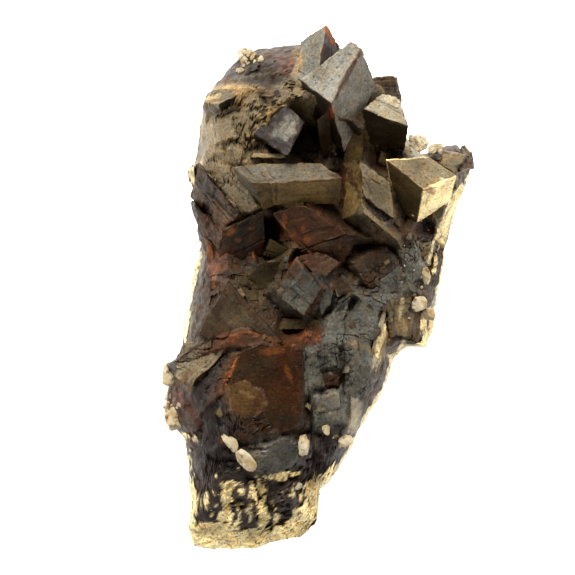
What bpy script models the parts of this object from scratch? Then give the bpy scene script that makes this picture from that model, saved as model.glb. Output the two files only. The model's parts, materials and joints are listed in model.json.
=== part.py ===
# A hand specimen of siderite: blocky brown rhombohedra grown together on a crust,
# over a plate of pale sugary rock, with a few pale quartz grains caught between them.
# It lies on the flat cut at the back of the pale rock, with the crystals facing up.
# X is across the specimen, Y runs from its narrow foot to its crown, Z is up.

import math
import bmesh
import bpy
import numpy as np

MM = 0.001

# Driving dimensions, in millimetres unless a note says otherwise.
PLATE_MIDDLE = 12.0      # top of the pale plate in the middle
PLATE_RIM = 8.5          # top of the pale plate at its rim
PLATE_BULGE = 5.0        # height at which the plate is widest
PLATE_FOOT = 0.94        # width at the cut back, as a share of the widest
PLATE_WAVE = 0.35        # height of the waves in the plate's top
CRUST_WAVE = 0.8         # height of the lumps in the crust
CRUST_SKIRT = 3.0        # how far the crust's own rim stands above the plate's rim
GAP = 0.3                # room between pieces that touch
POCKET_GAP = 0.42        # room round a grain, before the flats of its faces take some of it
WIDE_GAP = 0.21          # angle between outline points, in radians, that gets one more point
CENTRE = (-3.0, 0.0)     # the point that the outline is drawn round
FLARE = 1.05             # how much wider a crystal is at its buried end
CHIP_COUNT = 8           # little rhombs scattered over the crust
CHIP_LENGTH = (2.0, 4.2)
LEDGE_RISE = 0.5         # height of a growth step on a large crystal
LEDGE_AREA = 80.0        # faces larger than this, in square millimetres, carry a step

# Rings of the plate's top and of the crust's top, as shares of the way out to the rim.
TOP_SHARES = (1.0, 0.9, 0.72, 0.48, 0.22)
CRUST_SHARES = (1.0, 0.94, 0.84, 0.7, 0.52, 0.3)

# The outline, clockwise from the upper left: x, y, how far the crust stands in from it,
# and how far the plate stands in from it.
OUTLINE = (
    (-17, 39.5, 0.5, 2), (-13, 43.5, 0.5, 2), (-10, 43.5, 0, 2.5), (-5.5, 44.5, 0.5, 3),
    (-2, 46, 1.5, 3.5), (1.5, 47, 2, 4), (6.5, 44.5, 2, 4), (9, 42.5, 2, 4), (10.5, 38.5, 1, 3),
    (14, 38.5, 1, 3), (15, 35, 1, 3), (16.5, 28.5, 1, 2.5), (20, 25.5, 1.5, 1.5),
    (25.5, 26.5, 1, 2), (28, 22.5, 1, 1.5), (27, 18, 2.5, 0.5), (25, 13.5, 3, 0),
    (24, 8, 3.5, 0), (23, 2.5, 3, 0), (21.5, -3.5, 2, 0), (20.5, -10.5, 2.5, 0),
    (17, -10.5, 2, 0), (14, -12.5, 2, 0), (12.5, -18, 2.5, 0), (9.5, -22.5, 2, 0),
    (7, -27.5, 2, 0), (4, -33, 2.5, 0), (0.5, -37, 3, 0), (0, -43, 4.5, 0), (-3, -45.5, 5, 0),
    (-8.5, -46, 5.5, 0), (-12, -47.5, 6.5, 0), (-16.5, -47.5, 6.5, 0), (-22.5, -47, 6, 0),
    (-23.5, -44, 3, 0), (-23, -39.5, 1.5, 0), (-23.5, -32, 1, 0.5), (-24.5, -27.5, 1, 0.5),
    (-27, -24.5, 1, 0.5), (-28, -22, 1.5, 0), (-27.5, -17, 1.5, 0), (-28.5, -14.5, 1, 0.5),
    (-25, -12, 1, 0.5), (-24.5, -7, 1.5, 0), (-23.5, -2.5, 2, 0), (-22.5, 2, 2, 0),
    (-22, 6.5, 1.5, 0), (-21.5, 11.5, 1, 0.5), (-22.5, 18, 0.5, 1), (-23, 21, 0.5, 1.5),
    (-21.5, 26, 0.5, 1.5), (-21, 31.5, 0.5, 2), (-20, 35.5, 0.5, 2),
)

# Heights of the crust between the crystals: x, y, z.
CRUST_HEIGHTS = (
    (1, 36, 23), (-1, 27, 21), (6, 25, 19.5), (-10, 39, 15.5), (-18, 25, 19), (0.5, 16, 21),
    (-2.5, 23, 20), (8, 24, 20), (15, 34, 15), (18, 16, 17), (25, 23, 14), (15, 2, 18),
    (21, -2, 13), (-1, 9, 21), (-3, -5.5, 18), (-14, -5.5, 19), (-22, -2, 13),
    (-21, -14, 17), (-26, -18, 13), (-9, -20, 20), (4, -19.5, 18), (13, -9, 15),
    (-10, -35.5, 14.5), (0.5, -35.5, 13.5), (-21, -34, 13), (-12, -42, 12), (-18, -28, 16),
)

# The crystals: the four corners of the main face, in order round it, and then either the four
# corners at the other end or how deep the crystal runs down from its face.
CRYSTALS = (
    ('crown_right', (2.4, 32.8, 35), (7.9, 42.8, 30.5), (10.6, 36.6, 26), (4.8, 24.5, 26),
     ((-3.2, 37.1, 32.2), (6, 44.1, 30), (7, 40.2, 18), (0.2, 28.2, 22.5))),
    ('crown_left', (-0.1, 35.2, 32.3), (1.7, 47, 29.8), (-3, 44.2, 27), (-3.6, 37.4, 30.6),
     ((2.9, 31.8, 22), (4.1, 43.5, 24.5), (-1.9, 43.2, 15), (-2.7, 36.9, 18))),
    ('crown_rear', (6.9, 32.7, 27), (11.9, 34.2, 23.5), (12.3, 35.7, 23.5), (10.7, 36.8, 25.5), 8),
    ('crown_step', (-2.5, 29.8, 34), (1.3, 30.7, 33.5), (0.8, 34.1, 32.8), (-4.8, 36.1, 31.5), 13),
    ('crown_foot', (-5.4, 23.6, 35), (-2.2, 29.8, 34), (-5.9, 32.9, 32), (-11.6, 27.6, 31), 14),
    ('crown_back', (-5.7, 32.5, 31.5), (-4.8, 35.9, 31), (-9.8, 35.1, 28.5), (-9.8, 31.9, 29), 12),
    ('crown_chip', (-4.3, 36.4, 31.5), (-0.6, 37.1, 32.3), (-2.7, 39.3, 30.5), (-4.5, 38.3, 29), 10),
    ('shoulder', (-11.6, 27.3, 31), (-5.7, 32.6, 31), (-9.8, 32.3, 29), (-13.7, 30.9, 29), 12),
    ('shoulder_cube', (-14.4, 26.9, 30), (-11.6, 27.1, 31), (-12.3, 30.6, 30.3), (-15.5, 30.5, 29), 11),
    ('pit_cube', (-10.9, 25.2, 28.5), (-8.7, 25.2, 28.5), (-8.9, 27, 28), (-11.2, 27, 27.5), 8),
    ('pit_sill', (-11.9, 23.4, 31.5), (-5.7, 23.3, 32), (-5.5, 24.2, 31.5), (-11.6, 24.4, 30.5), 8),
    ('left_wedge', (-17.7, 32.6, 31), (-11.9, 35.7, 28), (-18.3, 36.1, 26), (-20.3, 33.9, 27),
     ((-15.9, 29.9, 24), (-11.6, 33.2, 22), (-17, 34.1, 17), (-20, 29, 21))),
    ('left_slope', (-12.6, 22.3, 32), (-14.2, 29.8, 30), (-20.8, 31, 25.5), (-22.1, 23.5, 24.5), 13),
    ('left_smooth', (-13.7, 13.5, 27), (-10.3, 14.4, 26.5), (-14.9, 21.6, 31), (-21.2, 22.8, 25.5), 12),
    ('left_big', (-21.2, 22.6, 26), (-13.7, 13.5, 27.5), (-17, 10.3, 23.5), (-22.6, 16.5, 19), 9),
    ('left_tip', (-23.3, 21.5, 20), (-22, 22.5, 23), (-21.6, 18.6, 21), (-22.8, 19, 18), 6),
    ('left_low', (-22.2, 15.9, 19.5), (-16.9, 10.3, 24), (-18.1, 0.7, 19), (-20.1, 5, 17), 8),
    ('left_facet', (-17.1, 10.7, 25.5), (-9.4, 14, 28), (-9.1, 6.1, 21.5), (-18.2, 0.5, 20), 9),
    ('top_lens', (-14.5, 39.5, 22.5), (-8, 38.2, 23), (-5.4, 42, 21), (-12.5, 41.7, 20.5), 9),
    ('top_shade', (-8, 38.2, 22.5), (-3.6, 36.5, 21), (-3.6, 41.2, 19.5), (-5.4, 42, 20.5), 8),
    ('top_band', (-17.2, 36.6, 21.5), (-3.6, 36.3, 22), (-8, 38.1, 21), (-14.5, 38.8, 20), 9),
    ('top_back', (-9.8, 41.5, 19.5), (-4.8, 42.4, 20), (-5.2, 44.5, 17.5), (-10.4, 43.1, 17), 7),
    ('top_rust', (-4.8, 37.2, 21), (-2.5, 37.9, 22), (-2.1, 43.7, 20), (-5.2, 43.7, 19), 8),
    ('brick_right', (-8.4, 18.7, 36), (4.5, 19.8, 32.5), (0.8, 22.8, 30.5), (-11, 22.2, 33.5),
     ((-8, 14.9, 29.5), (4.2, 15.3, 27), (1.4, 20.5, 22), (-9.1, 19.6, 24))),
    ('brick_left', (-11.7, 18.7, 35.4), (-7.1, 18.8, 35.9), (-9.4, 22.4, 33.6), (-15.1, 21.7, 33),
     ((-9.3, 14.2, 27.5), (-6.8, 15.1, 28), (-8.7, 19.6, 24), (-13, 17.4, 26))),
    ('fin_left', (-0.2, 29.9, 32), (2.2, 32, 33), (2.8, 24.1, 23), (0.9, 23.6, 22), 9),
    ('fin_back', (6.2, 31.4, 27.5), (8.7, 30.6, 26.5), (8.2, 22.6, 24), (4.3, 21.8, 23), 8),
    ('spine_body', (8.1, 13.8, 30.8), (7.8, 22.7, 29.6), (13.3, 18.9, 24.6), (14.2, 8.9, 24.6),
     ((4.4, 12.6, 25.5), (5.1, 21.4, 25), (9.6, 16.2, 15), (10.6, 6.6, 19.5))),
    ('spine_plate', (8.1, 16.6, 32.3), (7.7, 23, 31.6), (13.1, 19.4, 26.6), (13.7, 12.8, 26.3), 3.5),
    ('spine_strip', (8.1, 13.6, 32.2), (8.1, 14.9, 32.1), (14.4, 9.6, 26.4), (14.4, 8.7, 26), 3),
    ('ear_back', (10.9, 34.3, 22), (15.2, 34, 20), (14.3, 38.4, 21), (10, 38, 23), 9),
    ('ear_block', (7.9, 32.1, 28.5), (16.3, 29, 26.5), (15, 34.3, 23), (11.7, 35.3, 24.5),
     ((8.8, 26.3, 20.5), (15.8, 24.9, 18), (15, 32.4, 14), (11.4, 34.2, 14))),
    ('fang', (18.9, 17.7, 30), (12.2, 23.4, 27.5), (13.8, 15.4, 20), (17.9, 11.8, 20),
     ((24.9, 20.4, 26.5), (19.8, 23.7, 24.5), (18.6, 18, 14), (23.9, 15.6, 18))),
    ('fang_side', (18.3, 22.3, 24), (19.2, 22.6, 23.5), (17.3, 26.8, 21), (16.3, 26.3, 21), 6),
    ('nose', (21.6, 22.3, 24), (25.1, 20.7, 24.5), (27.1, 24.1, 22.5), (22.7, 25.2, 22.5), 8),
    ('nose_dark', (20.2, 24.1, 21.5), (24.6, 24.6, 22), (26, 26.7, 20), (21.5, 25.8, 20), 7),
    ('nose_tip', (25.1, 20.9, 23.5), (28.3, 21.8, 21), (27.9, 24.7, 19.5), (25.9, 26.1, 20.5), 8),
    ('slab_tip', (23.9, 17, 21.5), (25.2, 20, 22.5), (28.3, 21.6, 20.5), (27.4, 18.8, 19), 7),
    ('slab_outer', (23.8, 16.1, 19.5), (25.8, 17, 19), (22.3, 9, 17), (21, 9, 17.5), 7),
    ('slab_inner', (21.5, 15.2, 20), (23.4, 16.5, 20.5), (21, 9.9, 18.5), (19.9, 9.3, 18), 8),
    ('slab_low', (17.4, 3.9, 18), (18.5, 7.7, 19.5), (20.8, 9, 19), (19.9, 5, 17.5), 8),
    ('right_purple', (15.7, 11.1, 21), (17, 7.9, 20), (21.7, 9.9, 19), (20.6, 12.2, 20), 8),
    ('right_mid', (14.5, 7.1, 22.5), (17.5, 8, 21.5), (18.5, 2.7, 19.5), (15.4, 0.9, 20.5), 8),
    ('slope_right', (14.1, 8.9, 23), (17.7, 11.4, 22), (17, 7.2, 20.5), (14.5, 5, 21), 7),
    ('crust_right', (6.2, 5, 24.5), (12.1, 7.1, 24), (14.5, 5, 22.5), (9.8, 0, 23), 8),
    ('crust_right_edge', (9.8, -0.4, 23), (14.5, 4.6, 22.5), (17, -0, 20), (13.1, -2.1, 21), 7),
    ('heart_rust', (-8, 13.7, 28), (-2.4, 15.4, 31), (5.3, 9.9, 29.5), (-3.2, 6.9, 26.5), 9),
    ('heart_front', (-3.2, 6.9, 26.3), (5.3, 9.8, 29), (5, 4.8, 24), (0.2, 5, 23), 8),
    ('heart_olive', (-8.4, 9.3, 26), (-3.6, 6.9, 26), (-6.3, 5.4, 23), (-9.8, 6.1, 23.5), 7),
    ('heart_tip', (-7.1, 15.1, 29), (-4.8, 16.7, 29.5), (-2.2, 15.4, 29.8), (-3.8, 14, 29.8), 6),
    ('sliver', (-9.8, -1.4, 22.5), (-13.7, 1.1, 23.5), (-9.1, 5.3, 27), (-5.5, 5, 25.5), 8),
    ('grey_a', (-2.5, -5, 25.5), (-8, -0.5, 26.5), (-3.6, 5.9, 29.5), (0.9, 0.4, 28), 9),
    ('heart_low', (-3.6, 5.9, 27.5), (0.1, 7.1, 27), (4.1, 5, 25.5), (0.9, 1.8, 26.5), 8),
    ('grey_b', (0.9, -5, 24.5), (-0.9, 0.5, 26), (1, 3, 27), (3.4, -1.1, 25.5), 9),
    ('grey_c', (3, -5.9, 24), (3.5, -1.8, 25.5), (6.4, 0, 25), (5.7, -3.6, 24.5), 8),
    ('grey_d', (3.5, -1.4, 25), (3, 1.1, 25.5), (5.9, 1.6, 25), (6.8, -0.4, 24.5), 7),
    ('olive_slab', (-7.3, -7.1, 22), (3, -6.8, 22.5), (3, -5.4, 23), (-7.3, -5, 22), 6),
    ('rust_sill', (-6.1, -10.3, 24.2), (1.4, -9.8, 24.4), (2.3, -7.3, 23.8), (-4.8, -6.8, 23), 7),
    ('flat_rhomb', (-15.7, 1.8, 28), (-6.1, -9.2, 26), (-15.9, -11, 25), (-21.2, -7.8, 24.5), 8),
    ('rhomb_band', (-18.5, -11, 26), (-13.5, -7.3, 26.9), (-5.9, -9.6, 26.4), (-13.7, -10.1, 26.4), 7),
    ('ledge', (-22.5, -17.5, 23.5), (-25.9, -15.2, 22), (-24.1, -9.5, 21.5), (-13.4, -7.5, 26.5), 9),
    ('ledge_low', (-22.3, -17.7, 22.5), (-14.1, -9.2, 26), (-17, -20, 23.5), (-20.9, -21.5, 21), 9),
    ('ledge_mid', (-17.7, -18.9, 24.5), (-15.1, -11.9, 26.5), (-13.7, -11, 26), (-16.2, -18.2, 25), 8),
    ('ledge_foot', (-24.9, -25.8, 18), (-21.6, -20.6, 20.5), (-16.6, -20.5, 22.5), (-18.8, -28.3, 19),
     8),
    ('edge_left', (-23.7, -9, 18), (-23.5, -2.2, 19), (-21.6, -1.8, 21), (-21.5, -8.6, 20), 7),
    ('edge_left_up', (-22.4, -0, 20), (-22.2, 6.8, 19.5), (-20.4, 7.2, 21), (-19.8, 0.4, 21), 8),
    ('edge_dark', (-21.3, -5.7, 21), (-20.4, -0.9, 22), (-18, 0.4, 22.5), (-19.8, -3.9, 22), 7),
    ('flame', (-20, 5, 19.8), (-19.7, 8.9, 21.4), (-17.9, 5, 21.9), (-18.6, 0.4, 19.8), 6),
    ('lens_upper', (-15.3, -23.9, 25.2), (-2.5, -23.7, 25.2), (-3, -10.1, 26.3), (-13.7, -10.7, 26.8),
     9),
    ('lens_lower', (-10.9, -32, 20.5), (-5.2, -32, 20.5), (-2.3, -23.9, 25), (-15.3, -24, 25), 10),
    ('rib_a', (-2.3, -18, 25.8), (0.9, -16.9, 25.8), (-0.2, -11, 26.6), (-3, -11, 26.6), 9),
    ('rib_b', (1.4, -14.4, 26), (4.2, -14.1, 25.8), (3.5, -10, 26.3), (0.9, -10.3, 26.5), 9),
    ('rib_amber', (-0.6, -17.6, 25.2), (3.7, -17.1, 25), (4.1, -14.2, 25.4), (0.9, -14.8, 25.6), 8),
    ('rib_up', (0.9, -10, 26), (4.8, -10, 26.2), (4.8, -3.9, 25), (2.3, -5.7, 25), 8),
    ('plate_grey', (-0.2, -24.4, 23.5), (4.6, -23.2, 23.8), (4.8, -18, 24.8), (-1.1, -18.5, 25), 9),
    ('plate_right', (5.3, -18.7, 24.6), (9.6, -16, 23.8), (8.7, -8, 24.8), (5, -8, 25.8), 9),
    ('plate_up', (5, -7.8, 25.8), (9.1, -7.8, 24.8), (11.9, -1.8, 23.5), (6.2, -0.9, 25), 9),
    ('plate_edge', (6.2, -25.4, 22), (7.1, -25.4, 21.6), (7, -19.3, 23), (6.2, -19.3, 23.6), 8),
    ('bump_low', (3.8, -30.6, 20.5), (7, -27.4, 20.5), (5.9, -23.8, 22), (2.3, -24.3, 22.5), 8),
    ('tan_a', (8.4, -14.6, 22.5), (10.7, -16.1, 21), (12.9, -8.2, 21.5), (11.8, -2.5, 23), 9),
    ('tan_b', (12.7, -8.8, 20.5), (16.7, -8.4, 19.5), (17, -1.3, 20.5), (12.5, -1.6, 22.5), 8),
    ('tan_c', (10.6, -18.3, 19.5), (11.7, -19, 18.5), (14.9, -9.9, 18.5), (13.4, -9, 19.5), 7),
    ('right_dark', (17.1, -8.6, 17.5), (20, -7.5, 16), (19.2, -1.8, 16.5), (17, -1.3, 18.5), 7),
    ('right_sugar', (17.9, -12.1, 13), (21, -9.6, 13), (21.1, -5, 14), (17.5, -7.6, 15), 5),
    ('base_a', (-20.9, -29, 19), (-14.5, -30.8, 19.5), (-15.5, -24.6, 22), (-20, -23.2, 21), 9),
    ('base_b', (-16.7, -34.6, 18), (-12.3, -35.1, 18.5), (-13.6, -30.8, 19.5), (-17, -31, 19.5), 8),
    ('base_c', (-20.1, -41.4, 15.5), (-17, -41.3, 16), (-16.8, -31.5, 19), (-19.5, -31.2, 18.5), 7),
    ('base_d', (-15.1, -43.2, 15.5), (-10.9, -42.6, 15.8), (-10.9, -35.5, 18.3), (-15, -35.9, 18), 7),
    ('base_e', (-7.5, -43.5, 15.5), (-4.5, -42.4, 15.8), (-3.4, -34.8, 18), (-7.5, -34.6, 17.8), 7),
    ('base_ee', (-8.8, -41.3, 15.8), (-6.6, -41.3, 16), (-6.4, -38.8, 16.6), (-8.8, -39.2, 16.3), 5),
    ('base_f', (-1.4, -32.6, 18.5), (2, -32.3, 18), (2, -27.4, 19.8), (-1.1, -27, 20), 8),
    ('base_g', (-9.8, -36.6, 17.5), (-3, -35.9, 17.6), (-3, -31.9, 19), (-10.2, -32.2, 19), 8),
    ('base_h', (-23.1, -33.8, 16.5), (-20.3, -34.1, 17.5), (-20, -29, 19), (-23.5, -28.7, 17), 7),
    ('base_i', (-21.9, -41.4, 14.5), (-20.1, -41.4, 15.2), (-19.9, -34.5, 17.3), (-22.4, -34.1, 16.3),
     6),
    ('base_j', (-3, -40.5, 15), (-0.1, -39.2, 14.5), (0.9, -33.8, 16.5), (-2.7, -34.5, 17), 6),
)

# The pale grains: centre x, y, z, half sizes along their own x, y, z, and their turn about Z
# in degrees.
GRAINS = (
    (-12.5, 41.8, 17, 1.6, 1.4, 1.2, 0),
    (18.2, 26.3, 20.3, 1.3, 1.4, 1.2, 20),
    (21.2, 25.3, 20, 1.2, 0.9, 1.0, 0),
    (19.6, 2.5, 17.2, 0.8, 1.4, 1.1, 15),
    (18.4, -2.6, 17.6, 1.2, 1.3, 1.2, 0),
    (20, -4.3, 15.6, 1.1, 1.3, 1.0, 20),
    (-26.3, -15.2, 14.5, 1.7, 1.8, 1.2, 10),
    (-25.8, -23.2, 12.6, 1.5, 1.9, 1.2, 25),
    (-15.9, -26.8, 20.8, 2.3, 0.8, 0.9, -43),
    (-12.6, -30.4, 20.2, 2.4, 1.0, 1.0, -47),
    (-2.4, -28, 19.2, 0.9, 1.9, 1.0, -8),
    (1.6, -24.8, 18.2, 0.7, 1.0, 0.8, 0),
    (5.2, -26.9, 20.4, 1.2, 1.0, 1.0, 30),
    (-3.4, -35.1, 17.3, 0.8, 0.7, 0.8, 0),
)

scene = bpy.context.scene


def clear_scene():
    for thing in list(bpy.data.objects):
        bpy.data.objects.remove(thing, do_unlink=True)


def make_material(name, color, roughness):
    material = bpy.data.materials.new(name)
    material.use_nodes = True
    shader = material.node_tree.nodes['Principled BSDF']
    shader.inputs['Base Color'].default_value = (*color, 1.0)
    shader.inputs['Roughness'].default_value = roughness
    shader.inputs['Metallic'].default_value = 0.0
    return material


def make_object(name, points, faces, collection=None):
    """An object from points in millimetres and faces as lists of point numbers."""
    mesh = bpy.data.meshes.new(name)
    mesh.from_pydata([tuple(float(c) * MM for c in p) for p in points], [], faces)
    mesh.update()
    made = bpy.data.objects.new(name, mesh)
    (collection or scene.collection).objects.link(made)
    return made


def make_guide_collection(name):
    group = bpy.data.collections.new(name)
    scene.collection.children.link(group)
    return group


def mark_as_guide(thing):
    thing.hide_render = True
    thing.display_type = 'WIRE'
    return thing


def outline_turns():
    """The outline's own angles from the centre, anticlockwise, with one more in each wide gap."""
    rows = np.array(OUTLINE, float)
    turns = np.sort(np.arctan2(rows[:, 1] - CENTRE[1], rows[:, 0] - CENTRE[0]))
    after = np.append(turns[1:], turns[0] + 2 * math.pi)
    wide = after - turns > WIDE_GAP
    return np.sort(np.concatenate([turns, ((turns + after) / 2)[wide]]))


def outline_radius(angles, inset_column):
    """Distance from the centre to the outline at each angle, less the inset in that column."""
    rows = np.array(OUTLINE, float)
    x, y = rows[:, 0] - CENTRE[0], rows[:, 1] - CENTRE[1]
    radii = np.hypot(x, y) - rows[:, inset_column]
    turn = np.arctan2(y, x)
    order = np.argsort(turn)
    return np.interp(angles, turn[order], radii[order], period=2 * math.pi)


def lumps(x, y, size, seed):
    """A smooth bumpy field between -1 and 1, from three crossing waves."""
    a = np.sin(x / size + seed) * np.cos(y / size * 1.13 - seed * 0.7)
    b = np.sin((x + y) / size * 1.71 + seed * 2.1) * np.cos((x - y) / size * 1.37 + seed)
    c = np.sin(x / size * 3.1 - seed) * np.sin(y / size * 2.9 + seed * 1.3)
    return (a + 0.6 * b + 0.4 * c) / 2.0


def crust_height(x, y):
    """Height between the crystals: the named heights, each weighted by nearness."""
    marks = np.array(CRUST_HEIGHTS, float)
    away = (x[..., None] - marks[:, 0]) ** 2 + (y[..., None] - marks[:, 1]) ** 2 + 2.0
    weight = away ** -2.0
    return (weight * marks[:, 2]).sum(-1) / weight.sum(-1) + CRUST_WAVE * lumps(x, y, 1.9, 1.0)


def plate_height(share, x, y):
    """Top of the plate: highest in the middle, falling to the rim as the square of share."""
    rise = PLATE_MIDDLE - PLATE_RIM
    return PLATE_RIM + rise * (1 - share ** 2) + PLATE_WAVE * lumps(x, y, 2.3, 4.0)


def ring_faces(ring_count, steps):
    """Triangles between neighbouring rings of points, each ring counted anticlockwise."""
    faces = []
    for ring in range(ring_count - 1):
        for step in range(steps):
            a = ring * steps + step
            b = ring * steps + (step + 1) % steps
            faces += [[a, b, b + steps], [a, b + steps, a + steps]]
    return faces


def closed_rings(name, rings):
    """A closed body from rings that run from its underside, out, and in over its top."""
    steps = len(rings[0])
    points = [p for ring in rings for p in ring]
    faces = ring_faces(len(rings), steps)
    last = (len(rings) - 1) * steps
    faces.append([steps - 1 - i for i in range(steps)])
    peak = len(points)
    points.append(tuple(np.mean(np.array(rings[-1]), axis=0)))
    faces += [[last + i, last + (i + 1) % steps, peak] for i in range(steps)]
    return make_object(name, points, faces)


def ring_at(share, radius, angles, height):
    """Points at a share of the way out to the radius; height is a number or a function."""
    x = CENTRE[0] + np.cos(angles) * radius * share
    y = CENTRE[1] + np.sin(angles) * radius * share
    z = height(x, y) if callable(height) else np.full_like(x, height)
    return np.stack([x, y, z], axis=1)


def build_plate():
    """The pale plate: a flat cut back, sides that bulge, and a gently domed top."""
    angles = outline_turns()
    radius = outline_radius(angles, 3)
    wobble = 1 + 0.012 * np.sin(angles * 17) + 0.009 * np.sin(angles * 29 + 1)
    foot = ring_at(PLATE_FOOT, radius * wobble, angles, 0.0)
    low = ring_at((1 + PLATE_FOOT) / 2 + 0.015, radius * wobble, angles, PLATE_BULGE * 0.4)
    waist = ring_at(1.0, radius, angles, PLATE_BULGE)
    plate = closed_rings('matrix', [foot, low, waist] + plate_top(radius, angles, 0.0))
    plate.data.materials.append(make_material('pale_rock', (0.78, 0.68, 0.47), 0.9))
    return plate


def plate_top(radius, angles, lift):
    """Rings over the plate's top, a little inside its widest line, raised by lift."""
    return [ring_at(share * 0.975, radius, angles,
                    lambda x, y, s=share: plate_height(s, x, y) + lift) for share in TOP_SHARES]


def build_plate_cutter():
    """The plate's top raised by the gap and carried outwards, to cut what grows on it."""
    angles = outline_turns()
    radius = outline_radius(angles, 3)
    below = ring_at(1.5, radius, angles, -PLATE_BULGE)
    brim = ring_at(1.5, radius, angles, PLATE_RIM - 1.0)
    top = plate_top(radius, angles, GAP)
    return mark_as_guide(closed_rings('plate_cutter', [below, brim] + top))


def build_crust():
    """The uneven crust that the crystals stand on, before they are joined to it."""
    angles = outline_turns()
    radius = outline_radius(angles, 2)
    bottom = ring_at(0.9, radius, angles, PLATE_RIM - 4.0)
    skirt = ring_at(0.985, radius, angles, PLATE_RIM + 0.5)
    rings = [bottom, skirt]
    for share in CRUST_SHARES:
        drop = share ** 7

        def height(x, y, drop=drop):
            return crust_height(x, y) * (1 - drop) + (PLATE_RIM + CRUST_SKIRT) * drop
        rings.append(ring_at(share, radius, angles, height))
    crust = closed_rings('siderite_crystals', rings)
    crust.data.materials.append(make_material('siderite', (0.17, 0.135, 0.1), 0.55))
    return crust


# Triangles of a block whose corners are counted round one end and then round the other.
BLOCK_FACES = ([0, 1, 2], [0, 2, 3], [7, 6, 5], [7, 5, 4], [0, 4, 5], [0, 5, 1],
               [1, 5, 6], [1, 6, 2], [2, 6, 7], [2, 7, 3], [3, 7, 4], [3, 4, 0])


def build_block(name, top, low, collection):
    """A closed block from the four corners at each end, its faces pointing outwards."""
    points = np.concatenate([top, low])
    facing = np.dot(np.cross(top[1] - top[0], top[3] - top[0]), low[0] - top[0])
    faces = BLOCK_FACES if facing < 0 else [face[::-1] for face in BLOCK_FACES]
    return mark_as_guide(make_object(name, points, faces, collection))


def crystal_ends(row):
    """The corners at both ends of a crystal; one given by its depth widens a little downwards."""
    top = np.array(row[1:5], float)
    if isinstance(row[5], tuple):
        return top, np.array(row[5], float)
    middle = top.mean(axis=0)
    return top, middle + (top - middle) * FLARE - (0.0, 0.0, row[5])


def add_growth_step(name, top, draw, collection):
    """A low step on a large main face: a smaller block, pushed out of the face."""
    normal = np.cross(top[1] - top[0], top[3] - top[0])
    area = np.linalg.norm(normal)
    if area < LEDGE_AREA:
        return
    normal = normal / area * math.copysign(1.0, normal[2])
    start = draw.uniform(0.05, 0.35, 2)
    end = start + draw.uniform(0.35, 0.58, 2)
    step = np.array([top[0] * (1 - u) * (1 - v) + top[1] * u * (1 - v) + top[2] * u * v
                     + top[3] * (1 - u) * v for u, v in ((start[0], start[1]), (end[0], start[1]),
                                                         (end[0], end[1]), (start[0], end[1]))])
    build_block(name + '_step', step + normal * LEDGE_RISE, step - normal * 2.0, collection)


def scatter_chips(collection):
    """Little rhombs half sunk in the crust, turned a little from each other."""
    draw = np.random.default_rng(11)
    for number in range(CHIP_COUNT):
        angle = draw.uniform(0, 2 * math.pi)
        share = math.sqrt(draw.uniform(0.02, 0.86))
        radius = outline_radius(np.array([angle]), 2)[0] - 1.5
        x = CENTRE[0] + math.cos(angle) * radius * share
        y = CENTRE[1] + math.sin(angle) * radius * share
        z = float(crust_height(np.array([x]), np.array([y]))[0])
        size = draw.uniform(*CHIP_LENGTH)
        turn = draw.uniform(0, 2 * math.pi)
        side = turn + math.radians(100 + draw.uniform(-12, 12))
        tilt = draw.uniform(-0.5, 0.5, 2)
        first = np.array([math.cos(turn), math.sin(turn), tilt[0]]) * size * draw.uniform(0.6, 1)
        second = np.array([math.cos(side), math.sin(side), tilt[1]]) * size * draw.uniform(0.6, 1)
        third = np.array([-tilt[0] * 0.6, -tilt[1] * 0.6, -1.0]) * size * 1.1
        drop = size * 0.5 * share ** 7
        corner = np.array([x, y, z + size * 0.32 - drop]) - (first + second) * 0.4
        top = np.array([corner, corner + first, corner + first + second, corner + second])
        build_block('chip_%02d' % number, top, top + third, collection)


def grain_points(row, grow, seed):
    """A lumpy egg: a 42-point ball stretched to the half sizes, plus grow all round."""
    centre, half, turn = np.array(row[:3]), np.array(row[3:6]), math.radians(row[6])
    shape = bmesh.new()
    bmesh.ops.create_icosphere(shape, subdivisions=2, radius=1.0)
    points = np.array([v.co for v in shape.verts])
    faces = [[v.index for v in f.verts] for f in shape.faces]
    shape.free()
    bumps = 1 + 0.13 * np.sin(points[:, 0] * 4.1 + seed) * np.cos(points[:, 1] * 3.7 - seed)
    flat = np.clip(points[:, 2] * 1.25, -1, 0.82)
    shaped = np.stack([points[:, 0], points[:, 1], flat], axis=1) * bumps[:, None] * half
    shaped = shaped + points / np.linalg.norm(points, axis=1, keepdims=True) * grow
    x = shaped[:, 0] * math.cos(turn) - shaped[:, 1] * math.sin(turn)
    y = shaped[:, 0] * math.sin(turn) + shaped[:, 1] * math.cos(turn)
    return centre + np.stack([x, y, shaped[:, 2]], axis=1), faces


def build_grains(pockets):
    material = make_material('pale_quartz', (0.85, 0.76, 0.58), 0.6)
    for number, row in enumerate(GRAINS, 1):
        points, faces = grain_points(row, 0.0, number)
        grain = make_object('quartz_grain_%02d' % number, points, faces)
        grain.data.materials.append(material)
        points, faces = grain_points(row, POCKET_GAP, number)
        mark_as_guide(make_object('pocket_%02d' % number, points, faces, pockets))


def add_boolean(thing, operation, target=None, collection=None):
    step = thing.modifiers.new(operation.lower(), 'BOOLEAN')
    step.operation = operation
    step.solver = 'MANIFOLD'
    if collection is not None:
        step.operand_type = 'COLLECTION'
        step.collection = collection
    else:
        step.object = target


def island_of(start, seen):
    """The vertices that can be reached from one vertex along edges."""
    island, waiting = [], [start]
    seen.add(start)
    while waiting:
        vertex = waiting.pop()
        island.append(vertex)
        for edge in vertex.link_edges:
            other = edge.other_vert(vertex)
            if other not in seen:
                seen.add(other)
                waiting.append(other)
    return island


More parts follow.
